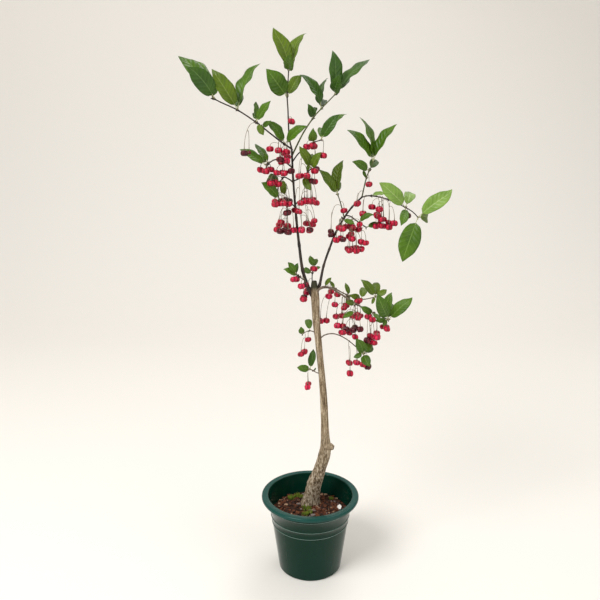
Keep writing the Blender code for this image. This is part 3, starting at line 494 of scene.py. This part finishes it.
def leaf_material(name, dark, light, vein):
    """A glossy leaf: mottled green, a pale midrib and faint side veins from its map places."""
    finish = Finish(name, 0.4, 0.3)
    ground = finish.ramp(finish.grain(45.0, 3.0), ((0.3, dark), (0.72, light)))
    places = finish.split("UV")
    side = finish.calc("ABSOLUTE", places["Y"])
    rib = finish.calc("LESS_THAN", side, 0.045)
    along = finish.calc("ADD", places["X"], finish.calc("MULTIPLY", side, -0.2))
    wave = finish.calc("SINE", finish.calc("MULTIPLY", along, 50.0))
    veins = finish.calc("GREATER_THAN", wave, 0.93)
    faint = finish.calc("MULTIPLY", veins, 0.16)
    strong = finish.calc("MULTIPLY", rib, 0.55)
    finish.colour(finish.mix(finish.calc("MAXIMUM", faint, strong), ground, (*vein, 1.0)))
    finish.bump(wave, 0.45, 0.0005)
    return finish.made


def fruit_material(name, shade, light):
    """A waxy capsule with painted shade where its map places ask for it: in its grooves, at its dimpled ends
    and at its underside.
    """
    finish = Finish(name, 0.34, 0.35)
    ground = finish.ramp(finish.grain(150.0, 3.0), ((0.3, shade), (0.7, light)))
    # The painted shade colour, a darker copy of the capsule's own, mixed in by the map's first place
    groove_painted_shade = (shade[0] * 0.3, shade[1] * 0.5, shade[2] * 0.4, 1.0)
    finish.colour(finish.mix(finish.split("UV")["X"], ground, groove_painted_shade))
    return finish.made


def bark_material():
    """Khaki bark: upright streaks, pale flecks, dark pits low down and a dark cut at the top."""
    finish = Finish("bark", 0.88, 0.2)
    streaks = finish.calc("MULTIPLY", finish.grain(420.0, 6.0, (1.0, 1.0, 0.12)), 0.55)
    broad = finish.calc("MULTIPLY", finish.grain(90.0, 4.0, (1.0, 1.0, 0.5)), 0.15)
    flecks = finish.calc("MULTIPLY", finish.grain(700.0, 3.0, (1.0, 1.0, 0.45)), 0.3)
    mixed = finish.calc("ADD", finish.calc("ADD", streaks, broad), flecks)
    ground = finish.ramp(mixed, (
        (0.38, (0.075, 0.048, 0.026)), (0.46, (0.2, 0.145, 0.085)),
        (0.53, (0.3, 0.23, 0.145)), (0.62, (0.52, 0.43, 0.31))))
    pits = finish.ramp(finish.grain(420.0, 6.0, (1.0, 1.0, 0.42)), (
        (0.37, (0.025, 0.015, 0.008)), (0.47, (0.19, 0.135, 0.078)), (0.6, (0.66, 0.57, 0.44))))
    height = finish.split("Object")["Z"]
    low = finish.mix(finish.calc("MULTIPLY", finish.rise(height, PITS_TOP, 0.15), 0.6), ground, pits)
    finish.colour(finish.mix(finish.rise(height, *TRUNK_CUT), low, (0.04, 0.04, 0.022, 1.0)))
    finish.bump(mixed, 0.9, 0.0012)
    return finish.made


# Leaves


def leaf_rule(leaf, turn, tilt):
    """A leaf's length, half its width, its direction, its upper normal and the direction across it."""
    _, heading, lean, length, face = leaf[:5]
    slenderness = leaf[5] if len(leaf) > 5 else LEAF_SLENDERNESS
    length = length * MM
    heading = math.radians(heading + turn)
    lean = math.radians(lean + tilt)
    face = math.radians(face)
    flat = Vector((math.cos(heading), 0, math.sin(heading)))
    along = flat * math.cos(lean) + Vector((0, 1, 0)) * math.sin(lean)
    up = Vector((-along.z, 0, along.x)) * (1 if along.x >= 0 else -1)
    up = (up - along * up.dot(along)).normalized()
    front = along.cross(up)
    if front.y > 0:
        front = -front
    normal = front * math.cos(face) + up * math.sin(face)
    return length, length * slenderness / 2, along, normal, along.cross(normal)


def leaf_width(share):
    """Half width of the blade as a share of its widest."""
    full = 2.42 * share ** 0.55 * (1 - share) ** 0.75 if 0 < share < 1 else 0.0
    point = max(0.0, (share - 0.72) / 0.28)
    return full * (1 - 0.5 * point) + 0.012


def add_leaf(blades, petioles, rng, foot, leaf, turn, tilt, kind):
    """A folded, pointed blade with small bends of its own, and its stalk."""
    length, half, along, normal, across = leaf_rule(leaf, turn, tilt)
    sway = rng.uniform(-0.05, 0.05)
    wave = rng.uniform(0.05, 0.12)
    phase = rng.uniform(0, 2 * math.pi)
    curl = rng.uniform(-0.03, 0.02)
    crease = LEAF_FOLD * rng.uniform(0.9, 1.6)
    hook = rng.uniform(-0.05, 0.07)
    skew = rng.uniform(-0.06, 0.06)
    upper = []
    places = []
    columns = 2 * LEAF_COLUMNS + 1

    def middle(share):
        rise = 4 * share * (1 - share) * LEAF_ARCH + curl * math.sin(math.pi * share * 2)
        end = max(0.0, (share - 0.78) / 0.22) ** 2
        aside = sway * math.sin(math.pi * share) + skew * end
        return foot + length * (along * (share - 0.02 * end) + normal * (rise - hook * end) + across * aside)

    for ring in range(LEAF_RINGS + 1):
        t = ring / LEAF_RINGS
        centre = middle(PETIOLE_SHARE + (1 - PETIOLE_SHARE) * t)
        width = half * leaf_width(t)
        fold = crease * (1 - 0.55 * t)
        for column in range(-LEAF_COLUMNS, LEAF_COLUMNS + 1):
            v = column / LEAF_COLUMNS
            lift = abs(v) * math.sin(fold) - LEAF_CUP * v * v
            ripple = wave * v * v * math.sin(phase + t * LEAF_RIPPLES + (1.5 if v > 0 else 0))
            upper.append(centre + across * width * v * math.cos(fold) + normal * width * (lift + ripple))
            places.append((t, v))
    total = len(upper)
    under = [point - normal * LEAF_THICKNESS for point in upper]
    faces = []
    for ring in range(LEAF_RINGS):
        for a in range(ring * columns, ring * columns + columns - 1):
            quad = (a, a + 1, a + columns + 1, a + columns)
            faces += [quad, tuple(total + index for index in reversed(quad))]
    rim = [ring * columns for ring in range(LEAF_RINGS, 0, -1)]
    rim += list(range(columns))
    rim += [ring * columns + columns - 1 for ring in range(1, LEAF_RINGS + 1)]
    rim += [LEAF_RINGS * columns + column for column in range(columns - 2, 0, -1)]
    for number, a in enumerate(rim):
        b = rim[(number + 1) % len(rim)]
        faces.append((b, a, total + a, total + b))
    blades.add(upper + under, faces, places + places, kind)
    path = [foot] + [middle(PETIOLE_SHARE * number / 3) for number in (1, 2, 3, 4)]
    radii = [PETIOLE_RADIUS * share for share in PETIOLE_TAPER]
    petioles.add(*tube(path, radii, STALK_SIDES), PETIOLE)


def leaf_solid(foot, leaf, turn, tilt):
    """A light stand-in for a leaf, to find its first free turn as the solids do."""
    length, half, along, normal, across = leaf_rule(leaf, turn, tilt)
    points = []
    for share, width in ((PETIOLE_SHARE, 0.2), (0.38, 0.92), (0.7, 0.84), (1.0, 0.05)):
        rise = 4 * share * (1 - share) * LEAF_ARCH * length
        centre = foot + along * length * share + normal * rise
        wing = across * half * width * math.cos(LEAF_FOLD)
        lift = normal * half * width * math.sin(LEAF_FOLD)
        points += [centre + wing + lift, centre, centre - wing + lift]
    faces = [(a, a + 1, a + 4, a + 3) for a in (0, 1, 3, 4, 6, 7)]
    return points, faces


def placed_turn(foot, leaf, trees):
    """The first turn of a leaf that crosses no limb and no other leaf."""
    for turn, tilt in LEAF_TURNS:
        tree = BVHTree.FromPolygons(*leaf_solid(foot, leaf, turn, tilt))
        if not any(tree.overlap(other) for other in trees):
            return turn, tilt, tree
    return None


# Fruit


def hanging(start, end, out, count):
    """Points of a stalk that leaves outwards and ends straight down."""
    reach = (end - start).length
    first = start + out * reach * 0.45
    second = end + Vector((0, 0, 1)) * reach * 0.45
    points = []
    for number in range(count + 1):
        share = number / count
        rest = 1 - share
        points.append(start * rest ** 3 + first * 3 * rest ** 2 * share
                      + second * 3 * rest * share ** 2 + end * share ** 3)
    return points


def point_on(path, share):
    """The point at a share of an evenly stepped path."""
    place = share * (len(path) - 1)
    index = min(int(place), len(path) - 2)
    return path[index].lerp(path[index + 1], place - index)


def add_fruit(fruits, rng, centre, kind):
    """A four-lobed capsule, dimpled at both ends and turned at random; its map places say where shade is
    painted.
    """
    turn = rng.uniform(0, 2 * math.pi)
    size = FRUIT_RADIUS * rng.uniform(0.9, 1.04)
    tilt = Vector((rng.uniform(-0.14, 0.14), rng.uniform(-0.14, 0.14), 0))
    vertices = [centre + Vector((0, 0, size * 0.6))]
    # Both dimpled ends get strong painted shade
    spots = [(0.8, 0.0)]
    for ring in range(1, FRUIT_RINGS):
        polar = math.pi * ring / FRUIT_RINGS
        for corner in range(FRUIT_SIDES):
            angle = 2 * math.pi * corner / FRUIT_SIDES
            lobe = abs(math.cos(2 * angle)) ** 0.7
            wide = math.sin(polar) ** 0.8 * (0.74 + 0.28 * lobe)
            tall = math.cos(polar) * (0.72 + 0.16 * lobe * math.sin(polar))
            x = size * wide * math.cos(angle + turn)
            y = size * wide * math.sin(angle + turn)
            z = size * tall
            vertices.append(centre + Vector((x, y, z + x * tilt.x + y * tilt.y)))
            # Painted shade between the lobes and on the underside, growing towards the bottom
            spots.append((min(1.0, 0.9 * (1 - lobe) ** 2 + max(0.0, -math.cos(polar)) * 0.45), 0.0))
    vertices.append(centre - Vector((0, 0, size * 0.58)))
    spots.append((0.8, 0.0))
    fruits.add(vertices, poled_faces(FRUIT_SIDES, FRUIT_RINGS - 1, flipped=True), spots, kind)


def add_cyme(fruits, twigs, rng, stem, cyme, taken):
    """Fruit on stalks that leave one main stalk in turn; one with no free place is left out."""
    station, x, y, z, wide, deep, tall, count = cyme
    start = on_stem(stem, station)
    centre = Vector((x, y, z)) * MM
    main = None
    turn = rng.uniform(0, 2 * math.pi)
    dark = rng.random() < DARK_CYME_SHARE
    for number in range(count):
        angle = turn + number * GOLDEN_ANGLE
        share = math.sqrt((number + 0.5) / count)
        level = rng.uniform(-1, 1) if count > 1 else 0
        offset = Vector((math.cos(angle) * wide * share, math.sin(angle) * deep * share, level * tall))
        root = point_on(main, BRANCH_SHARES[number - 1]) if main else start
        for shift in FRUIT_SHIFTS:
            place = centre + (offset + Vector(shift)) * MM
            if all((place - other).length > FRUIT_GAP for other in taken):
                break
        else:
            continue
        taken.append(place)
        out = place - root
        out.z = 0
        out = out.normalized() if out.length > MM / 2 else Vector((0, -1, 0))
        out = (out + Vector((0, 0, 0.7))).normalized()
        steps = STALK_STEPS if main else MAIN_STALK_STEPS
        path = hanging(root, place + Vector((0, 0, FRUIT_TOP)), out, steps)
        main = main or path
        radii = [STALK_RADIUS] * len(path)
        radii[-2:] = [STALK_RADIUS * share for share in STALK_END]
        twigs.add(*tube(path, radii, STALK_SIDES), STALK)
        shade = rng.random()
        kind = MAROON if shade < MAROON_SHARES[dark] else PINK if shade > PINK_FROM else CRIMSON
        add_fruit(fruits, rng, place, kind)


# Limbs


def knuckled(nodes_at, swell, reach):
    """A form that swells a stem at its nodes."""
    def form(place, angle, walked):
        share = 1.0
        for node in nodes_at:
            share += swell * math.exp(-((walked - node) / reach) ** 2)
        return share + 0.05 * noise.noise(place * 900)
    return form


def bark_form(place, angle, walked):
    """Upright ridges, pits low down and a flare at the soil."""
    turn = around(1, angle, 0)
    ridges = noise.noise(turn * 3.2 + Vector((0, 0, place.z * 45)))
    fine = noise.noise(turn * 9.0 + Vector((0, 0, place.z * 120)))
    rough = max(0.0, min(1.0, (PITS_TOP - place.z) / 0.06))
    pits = noise.noise(turn * 5.0 + Vector((3, 7, place.z * 260)))
    fade = math.exp(-(place.z - SOIL_HEIGHT) / FLARE_HEIGHT)
    flare = FLARE_SHARE * fade * math.cos(FLARE_LOBES * (angle - FLARE_TURN))
    return 1 + flare + 0.045 * ridges + 0.02 * fine + rough * 0.05 * pits


def add_buds(twigs, rng, stem, station):
    """A pair of small pointed buds at a node."""
    place = on_stem(stem, station)
    ahead = on_stem(stem, min(station + 0.1, len(stem) - 1))
    along = (ahead - on_stem(stem, max(station - 0.1, 0))).normalized()
    side = along.cross(Vector((0, 1, 0.3))).normalized()
    for sign in (-1, 1):
        out = (side * sign + along * 0.9 + Vector((0, rng.uniform(-0.4, 0.4), 0))).normalized()
        start = place + out * 0.0006
        path = [start + out * 0.0007 * number for number in range(5)]
        twigs.add(*tube(path, BUD_RADII, STALK_SIDES), BUD)


def trunk_piece(finishes):
    """The trunk, flat at the soil, and its knob, both with a cut end."""
    mesh = Mesh()
    for points, steps, sides in ((TRUNK, 9, 40), (TRUNK_KNOB, 5, 20)):
        vertices, faces, spots = tube(*limb_path(points, steps), sides, bark_form)
        if points is TRUNK:
            for vertex in vertices[:sides]:
                vertex.z = SOIL_HEIGHT
        mesh.add(vertices, faces, spots, BARK)
        mesh.kinds[-1] = CUT
    return mesh.made("trunk_bark", finishes)


def bough_pieces(young, grey):
    made = []
    for name, points in BOUGHS.items():
        mesh = Mesh()
        places, radii = limb_path(points, STEM_STEPS)
        knots = path_lengths(places)[STEM_STEPS::STEM_STEPS]
        mesh.add(*tube(places, radii, BOUGH_SIDES, knuckled(knots, *BOUGH_KNUCKLE)))
        made.append((mesh.made(name + "_bark", [grey if name == "bough_low" else young]), name))
    return made


# Pot and soil


def turned(outline, kind_at):
    """A closed mesh turned about the Z axis; its outline starts and ends on the axis."""
    mesh = Mesh()
    vertices = [around(radius, 2 * math.pi * side / POT_SIDES, height)
                for radius, height in outline[1:-1] for side in range(POT_SIDES)]
    vertices = [Vector((0, 0, outline[0][1])), *vertices, Vector((0, 0, outline[-1][1]))]
    mesh.add(vertices, poled_faces(POT_SIDES, len(outline) - 2))
    for number, face in enumerate(mesh.faces):
        heights = [vertices[index].z for index in face]
        reach = max(vertices[index].xy.length for index in face)
        mesh.kinds[number] = kind_at(min(heights), max(heights), reach)
    return mesh


def wall_radius(height):
    """The radius of the pot's outer wall, which is straight below and above its band."""
    if height < POT_BAND_HEIGHT:
        return POT_FOOT_RADIUS + (POT_BAND_RADIUS - POT_FOOT_RADIUS) * height / POT_BAND_HEIGHT
    share = (height - POT_BAND_HEIGHT) / (POT_HEIGHT - POT_BAND_HEIGHT)
    return POT_BAND_RADIUS + (POT_MOUTH_RADIUS + POT_WALL - POT_BAND_RADIUS) * share


def ring_outline(height):
    """The outline of a raised ring on the wall."""
    low = height - 1.6 * RING_RISE
    high = height + 1.6 * RING_RISE
    return [(wall_radius(low), low), (wall_radius(height) + RING_RISE, height - RING_RISE / 2),
            (wall_radius(height) + RING_RISE, height + RING_RISE / 2), (wall_radius(high), high)]


def pot_piece(finishes):
    edge = POT_EDGE
    under_lip = POT_HEIGHT - LIP_THICKNESS
    lip_foot = POT_HEIGHT - LIP_DEPTH
    outline = [(0, 0), (POT_FOOT_RADIUS - edge, 0), (wall_radius(edge), edge)]
    outline += ring_outline(LOW_RING_HEIGHT)
    outline.append((POT_BAND_RADIUS, POT_BAND_HEIGHT))
    for height in RING_HEIGHTS:
        outline += ring_outline(height)
    outline += [(wall_radius(under_lip), under_lip), (POT_RADIUS - LIP_THICKNESS, under_lip - edge),
                (POT_RADIUS - LIP_THICKNESS, lip_foot), (POT_RADIUS - edge / 2, lip_foot),
                (POT_RADIUS, lip_foot + edge)]
    for step in range(1, 9):
        angle = math.pi / 2 * step / 8
        outline.append((POT_RADIUS - 1.5 * edge * (1 - math.cos(angle)),
                        POT_HEIGHT - 1.5 * edge * (1 - math.sin(angle))))
    for step in range(1, 7):
        angle = math.pi / 2 * step / 6
        outline.append((POT_MOUTH_RADIUS + edge * (1 - math.sin(angle)),
                        POT_HEIGHT - edge * (1 - math.cos(angle))))
    floor = SOIL_HEIGHT - POT_DEPTH_UNDER_MIX
    outline += [(wall_radius(POT_BAND_HEIGHT) - POT_WALL, POT_BAND_HEIGHT),
                (wall_radius(floor) - POT_WALL, floor), (0, floor)]

    def kind_at(low, high, reach):
        # The lip takes a lighter green, which is painted light where it catches the light
        if high > POT_HEIGHT - 2 * LIP_DEPTH and reach > POT_MOUTH_RADIUS + POT_WALL + 0.0002:
            return POT_RIM_PAINTED_LIGHT
        # The raised rings take a pale finish that is painted highlight
        for ring in (LOW_RING_HEIGHT,) + RING_HEIGHTS:
            if abs((low + high) / 2 - ring) < 0.8 * RING_RISE and reach > wall_radius(ring):
                return POT_RIDGE_PAINTED_HIGHLIGHT
        return POT_GREEN

    made = turned(outline, kind_at).made("pot_skin", finishes)
    made.data.set_sharp_from_angle(angle=math.radians(40))
    return made


def mix_fall(radius, brim):
    """How far the mix has sunk at a radius; it's flat round the trunk."""
    return MIX_FALL * max(0.0, (radius - MIX_FLAT_RADIUS) / (brim - MIX_FLAT_RADIUS))


def soil_piece(earth):
    """The mix's rough top with its side going down into the pot."""
    mesh = Mesh()
    brim = wall_radius(SOIL_HEIGHT) - POT_WALL - 0.0005
    vertices = [Vector((0, 0, SOIL_HEIGHT - LITTER_DIP))]
    for ring in range(1, MIX_RINGS + 1):
        radius = brim * ring / MIX_RINGS
        for side in range(POT_SIDES):
            place = around(radius, 2 * math.pi * side / POT_SIDES, 0)
            lump = 0.0011 * noise.noise(place * 240) + 0.0007 * noise.noise(place * 620)
            place.z = SOIL_HEIGHT - MIX_DIP - mix_fall(radius, brim) + lump
            vertices.append(place)
    deep = SOIL_HEIGHT - MIX_THICKNESS
    vertices += [Vector((place.x * 0.98, place.y * 0.98, deep)) for place in vertices[-POT_SIDES:]]
    vertices.append(Vector((0, 0, deep)))
    mesh.add(vertices, poled_faces(POT_SIDES, MIX_RINGS + 1, flipped=True))
    return mesh.made("soil_top", [earth])


def crumb(rng, place, size, flat):
    """A small broken lump."""
    turn = rng.uniform(0, 2 * math.pi)
    tilt = rng.uniform(-0.4, 0.4)
    long = rng.uniform(1.0, 1.8)
    vertices = []
    for z in (-1, 1):
        for corner in range(5):
            angle = turn + 2 * math.pi * corner / 5
            reach = size * rng.uniform(0.75, 1.1)
            x = math.cos(angle - turn) * reach * long
            y = math.sin(angle - turn) * reach
            point = Vector((x * math.cos(turn) - y * math.sin(turn), x * math.sin(turn) + y * math.cos(turn),
                            z * size * flat * rng.uniform(0.7, 1.0) + x * tilt))
            vertices.append(place + point)
    faces = [(4, 3, 2, 1, 0), (5, 6, 7, 8, 9)] + ring_faces(5, 2)
    return vertices, faces


def litter_piece(finishes):
    """Bark crumbs, a few pale chips and one white chip over the mix."""
    rng = random.Random(SEED + 5)
    mesh = Mesh()
    brim = wall_radius(SOIL_HEIGHT) - POT_WALL - 0.003
    for number in range(CRUMB_COUNT):
        radius = brim * math.sqrt(rng.random())
        angle = rng.uniform(0, 2 * math.pi)
        size = rng.uniform(0.0008, 0.0024) * (1.5 if number % 9 == 0 else 1)
        spot = around(radius, angle, SOIL_HEIGHT - LITTER_DIP - mix_fall(radius, brim) + size * 0.15)
        kind = rng.choices((RED_CRUMB, DARK_CRUMB, TAN_CHIP, GREY_CHIP), (6, 6, 0.9, 0.5))[0]
        mesh.add(*crumb(rng, spot, size, 0.45), kind=kind)
    mesh.add(*crumb(rng, Vector((0.046, 0.004, SOIL_HEIGHT + 0.0002)), 0.0034, 0.35), kind=WHITE_CHIP)
    made = mesh.made("soil_litter", finishes)
    made.data.shade_flat()
    return made


# Each tuft's place and radius
MOSS_SPOTS = ((-0.03, 0.034, 0.006), (-0.02, 0.041, 0.005), (-0.012, 0.036, 0.004), (-0.006, 0.003, 0.007),
              (-0.001, -0.01, 0.005), (-0.008, -0.016, 0.004), (0.034, 0.03, 0.003))


def moss_piece(finish):
    """Tufts of small upright blades."""
    rng = random.Random(SEED + 6)
    mesh = Mesh()
    for x, y, spread in MOSS_SPOTS:
        for _ in range(int(MOSS_DENSITY * spread)):
            angle = rng.uniform(0, 2 * math.pi)
            radius = spread * math.sqrt(rng.random())
            foot = Vector((x + radius * math.cos(angle), y + radius * math.sin(angle), SOIL_HEIGHT - 0.002))
            tip = foot + Vector((rng.uniform(-0.0026, 0.0026), rng.uniform(-0.0026, 0.0026),
                                 rng.uniform(0.0028, 0.0065)))
            mesh.add(*tube([foot, foot.lerp(tip, 0.55), tip], MOSS_RADII, 4))
    return mesh.made("moss", [finish])


# The whole plant

# A speckled finish is its colours by their place on the ramp, the scale of its grain, its roughness
# and its specular level, and for stems how the grain is stretched and its relief
SPECKLED = {
    "pot_green": (((0.3, (0.0012, 0.022, 0.012)), (0.8, (0.002, 0.03, 0.019))), 9.0, 0.1, 0.16),
    # A lighter copy of the pot's green for the lip: painted light
    "pot_rim_painted_light": (((0.3, (0.003, 0.05, 0.04)), (0.8, (0.005, 0.066, 0.053))), 30.0, 0.26, 0.22),
    # The rings' pale green is painted highlight on their raised edges
    "pot_ridge_painted_highlight": (((0.3, (0.13, 0.21, 0.18)), (0.8, (0.19, 0.28, 0.24))), 30.0, 0.3, 0.5),
    "potting_mix": (((0.3, (0.01, 0.005, 0.003)), (0.55, (0.05, 0.02, 0.011)),
                     (0.8, (0.12, 0.05, 0.028))), 380.0, 0.95, 0.2),
    "bark_crumb": (((0.3, (0.045, 0.014, 0.007)), (0.7, (0.17, 0.058, 0.026))), 300.0, 0.9, 0.2),
    "dark_crumb": (((0.3, (0.01, 0.005, 0.004)), (0.7, (0.055, 0.024, 0.015))), 300.0, 0.9, 0.2),
    "tan_chip": (((0.3, (0.2, 0.11, 0.065)), (0.7, (0.42, 0.28, 0.18))), 300.0, 0.9, 0.2),
    "grey_chip": (((0.3, (0.13, 0.1, 0.09)), (0.7, (0.3, 0.25, 0.23))), 300.0, 0.9, 0.2),
    "white_chip": (((0.3, (0.72, 0.68, 0.62)), (0.7, (0.9, 0.88, 0.84))), 300.0, 0.8, 0.2),
    "moss_green": (((0.3, (0.06, 0.11, 0.008)), (0.7, (0.22, 0.28, 0.03))), 160.0, 0.8, 0.2),
    "cut_wood": (((0.3, (0.018, 0.013, 0.009)), (0.7, (0.06, 0.045, 0.032))), 200.0, 0.9, 0.2),
    "young_bark": (((0.35, (0.012, 0.009, 0.008)), (0.65, (0.05, 0.03, 0.02))),
                   160.0, 0.55, 0.4, (1, 1, 0.4), 0.3),
    "grey_twig": (((0.35, (0.07, 0.05, 0.033)), (0.65, (0.22, 0.165, 0.12))),
                  160.0, 0.65, 0.3, (1, 1, 0.4), 0.3),
    "green_twig": (((0.35, (0.04, 0.045, 0.012)), (0.65, (0.12, 0.135, 0.04))),
                   160.0, 0.55, 0.4, (1, 1, 0.4), 0.2),
    "bud": (((0.35, (0.02, 0.012, 0.008)), (0.65, (0.09, 0.055, 0.03))), 220.0, 0.6, 0.3),
    "fruit_stalk": (((0.35, (0.11, 0.085, 0.05)), (0.65, (0.27, 0.22, 0.14))), 220.0, 0.7, 0.3),
    "leaf_stalk": (((0.35, (0.3, 0.32, 0.14)), (0.65, (0.55, 0.56, 0.33))), 200.0, 0.5, 0.4),
}
made_finishes = {name: speckled(name, *values) for name, values in SPECKLED.items()}


def painted(*names):
    return [made_finishes[name] for name in names]


leaf_kinds = [
    leaf_material("leaf_fresh", (0.038, 0.098, 0.002), (0.08, 0.17, 0.005), (0.2, 0.32, 0.07)),
    leaf_material("leaf_olive", (0.06, 0.11, 0.002), (0.12, 0.19, 0.006), (0.26, 0.34, 0.07)),
    leaf_material("leaf_deep", (0.022, 0.07, 0.003), (0.048, 0.12, 0.007), (0.14, 0.24, 0.07)),
    leaf_material("leaf_light", (0.13, 0.24, 0.03), (0.24, 0.38, 0.07), (0.42, 0.54, 0.2)),
]
fruit_kinds = [
    fruit_material("fruit_crimson", (0.34, 0.002, 0.02), (0.62, 0.005, 0.048)),
    fruit_material("fruit_maroon", (0.05, 0.001, 0.005), (0.15, 0.003, 0.013)),
    fruit_material("fruit_pink", (0.44, 0.003, 0.034), (0.72, 0.01, 0.075)),
]

# The finish of a mass's leaves where it isn't fresh green
LEAF_FINISH = {
    "crown_top": OLIVE, "crown_top_right": DEEP, "spur_right_mid": OLIVE, "crown_right_pair": OLIVE,
    "crown_right_outer": LIGHT, "spray_low_back": OLIVE,
}

# The finish of a mass's stem where it isn't near-black
TWIG_FINISH = {
    "crown_top_right": GREEN, "crown_right_top": GREEN, "crown_right_pair": GREEN, "twig_low": GREY,
    "twig_left_upper": GREY, "twig_left_lower": GREY, "spray_low_inner": GREY, "spray_low_back": GREY,
}

trunk = trunk_piece([bark_material(), *painted("cut_wood")])
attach(trunk, "root")
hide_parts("trunk")
for piece, name in bough_pieces(*painted("young_bark", "grey_twig")):
    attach(piece, "root")
    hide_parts(name)
pot = pot_piece(painted("pot_green", "pot_rim_painted_light", "pot_ridge_painted_highlight"))
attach(pot, "root")
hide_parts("pot")
top = soil_piece(*painted("potting_mix"))
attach(top, "root")
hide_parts("soil")
litter = litter_piece(painted("bark_crumb", "dark_crumb", "tan_chip", "grey_chip", "white_chip"))
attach(litter, "root")
moss = moss_piece(*painted("moss_green"))
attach(moss, "root")

blades = Mesh()
twigs = Mesh()
fruits = Mesh()
rng = random.Random(SEED)
trees = [BVHTree.FromPolygons(*tube(*limb_path(points, 2), 6)[:2]) for points in (TRUNK, *BOUGHS.values())]
for name, mass in MASSES.items():
    places, radii = limb_path(stem_points(mass), STEM_STEPS)
    walked = path_lengths(places)
    knots = {walked[min(len(walked) - 1, round(leaf[0] * STEM_STEPS))] for leaf in mass["leaves"]}
    form = knuckled(sorted(knots), *STEM_KNUCKLE)
    twigs.add(*tube(places, radii, STEM_SIDES, form), TWIG_FINISH.get(name, YOUNG))
    for station in sorted({leaf[0] for leaf in mass["leaves"]}):
        add_buds(twigs, rng, mass["stem"], station)
for name, mass in MASSES.items():
    for leaf in mass["leaves"]:
        foot = on_stem(mass["stem"], leaf[0])
        found = placed_turn(foot, leaf, trees)
        if not found:
            continue
        turn, tilt, tree = found
        trees.append(tree)
        finish = LEAF_FINISH.get(name, FRESH)
        if rng.random() < ODD_LEAF_SHARE:
            finish = rng.choice((FRESH, OLIVE, DEEP))
        if leaf[1] < -90 and name == "crown_right_outer":
            finish = FRESH
        add_leaf(blades, twigs, rng, foot, leaf, turn, tilt, finish)
taken = []
for mass in MASSES.values():
    for cyme in mass.get("cymes", ()):
        add_cyme(fruits, twigs, rng, mass["stem"], cyme, taken)

masses = sorted(MASSES)
leaves = blades.made("leaves", leaf_kinds)
sprigs = twigs.made("twigs", painted(
    "young_bark", "fruit_stalk", "leaf_stalk", "green_twig", "grey_twig", "bud"))
berries = fruits.made("fruit", fruit_kinds)
for piece in (leaves, sprigs, berries):
    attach(piece, "root")
    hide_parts(*masses)


# Floor, light and camera

BACKDROP_START = 1.2
BACKDROP_BEND = 1.2
BACKDROP_STEPS = 12
BACKDROP_TOP = 5.0
FLOOR_FRONT = -4.0
FLOOR_HALF_WIDTH = 5
LIGHT_AIM = Vector((0, 0, 0.4))
LIGHTS = (("key", (-1.3, -1.3, 2.2), 1.2, 52), ("fill", (1.6, -1.2, 1.0), 1.6, 10),
          ("back", (0.6, 1.1, 2.2), 1.2, 14))
CAMERA_PLACE = (-0.0158, -0.9585, 0.6666)
CAMERA_DIP = 13.87
CAMERA_LENS = 41.06


def stage():
    """A pale floor that rises into a backdrop, soft light and the camera."""
    pale = Finish("pale_floor", 0.9, 0.2)
    pale.colour((0.86, 0.83, 0.78, 1.0))
    mesh = Mesh()
    profile = [(FLOOR_FRONT, 0.0), (BACKDROP_START, 0.0)]
    for step in range(1, BACKDROP_STEPS + 1):
        angle = math.pi / 2 * step / BACKDROP_STEPS
        profile.append((BACKDROP_START + BACKDROP_BEND * math.sin(angle),
                        BACKDROP_BEND * (1 - math.cos(angle))))
    profile.append((BACKDROP_START + BACKDROP_BEND, BACKDROP_TOP))
    vertices = [Vector((x, y, z)) for y, z in profile for x in (-FLOOR_HALF_WIDTH, FLOOR_HALF_WIDTH)]
    faces = [(2 * n, 2 * n + 1, 2 * n + 3, 2 * n + 2) for n in range(len(profile) - 1)]
    mesh.add(vertices, faces)
    floor = mesh.made("floor", [pale.made])
    scene = bpy.context.scene
    world = bpy.data.worlds.new("studio")
    scene.world = world
    world.use_nodes = True
    background = world.node_tree.nodes["Background"].inputs
    background["Color"].default_value = (1.0, 0.98, 0.95, 1.0)
    background["Strength"].default_value = 0.52
    scene.view_settings.view_transform = "Standard"
    for name, place, size, power in LIGHTS:
        lamp = bpy.data.lights.new(name, "AREA")
        lamp.energy = power
        lamp.size = size
        holder = bpy.data.objects.new(name, lamp)
        holder.location = place
        holder.rotation_euler = (LIGHT_AIM - Vector(place)).to_track_quat("-Z", "Y").to_euler()
        scene.collection.objects.link(holder)
    lens = bpy.data.cameras.new("camera")
    lens.lens = CAMERA_LENS
    lens.sensor_width = 36
    camera = bpy.data.objects.new("camera", lens)
    camera.location = CAMERA_PLACE
    camera.rotation_euler = (math.radians(90 - CAMERA_DIP), 0, 0)
    scene.collection.objects.link(camera)
    scene.camera = camera


stage()
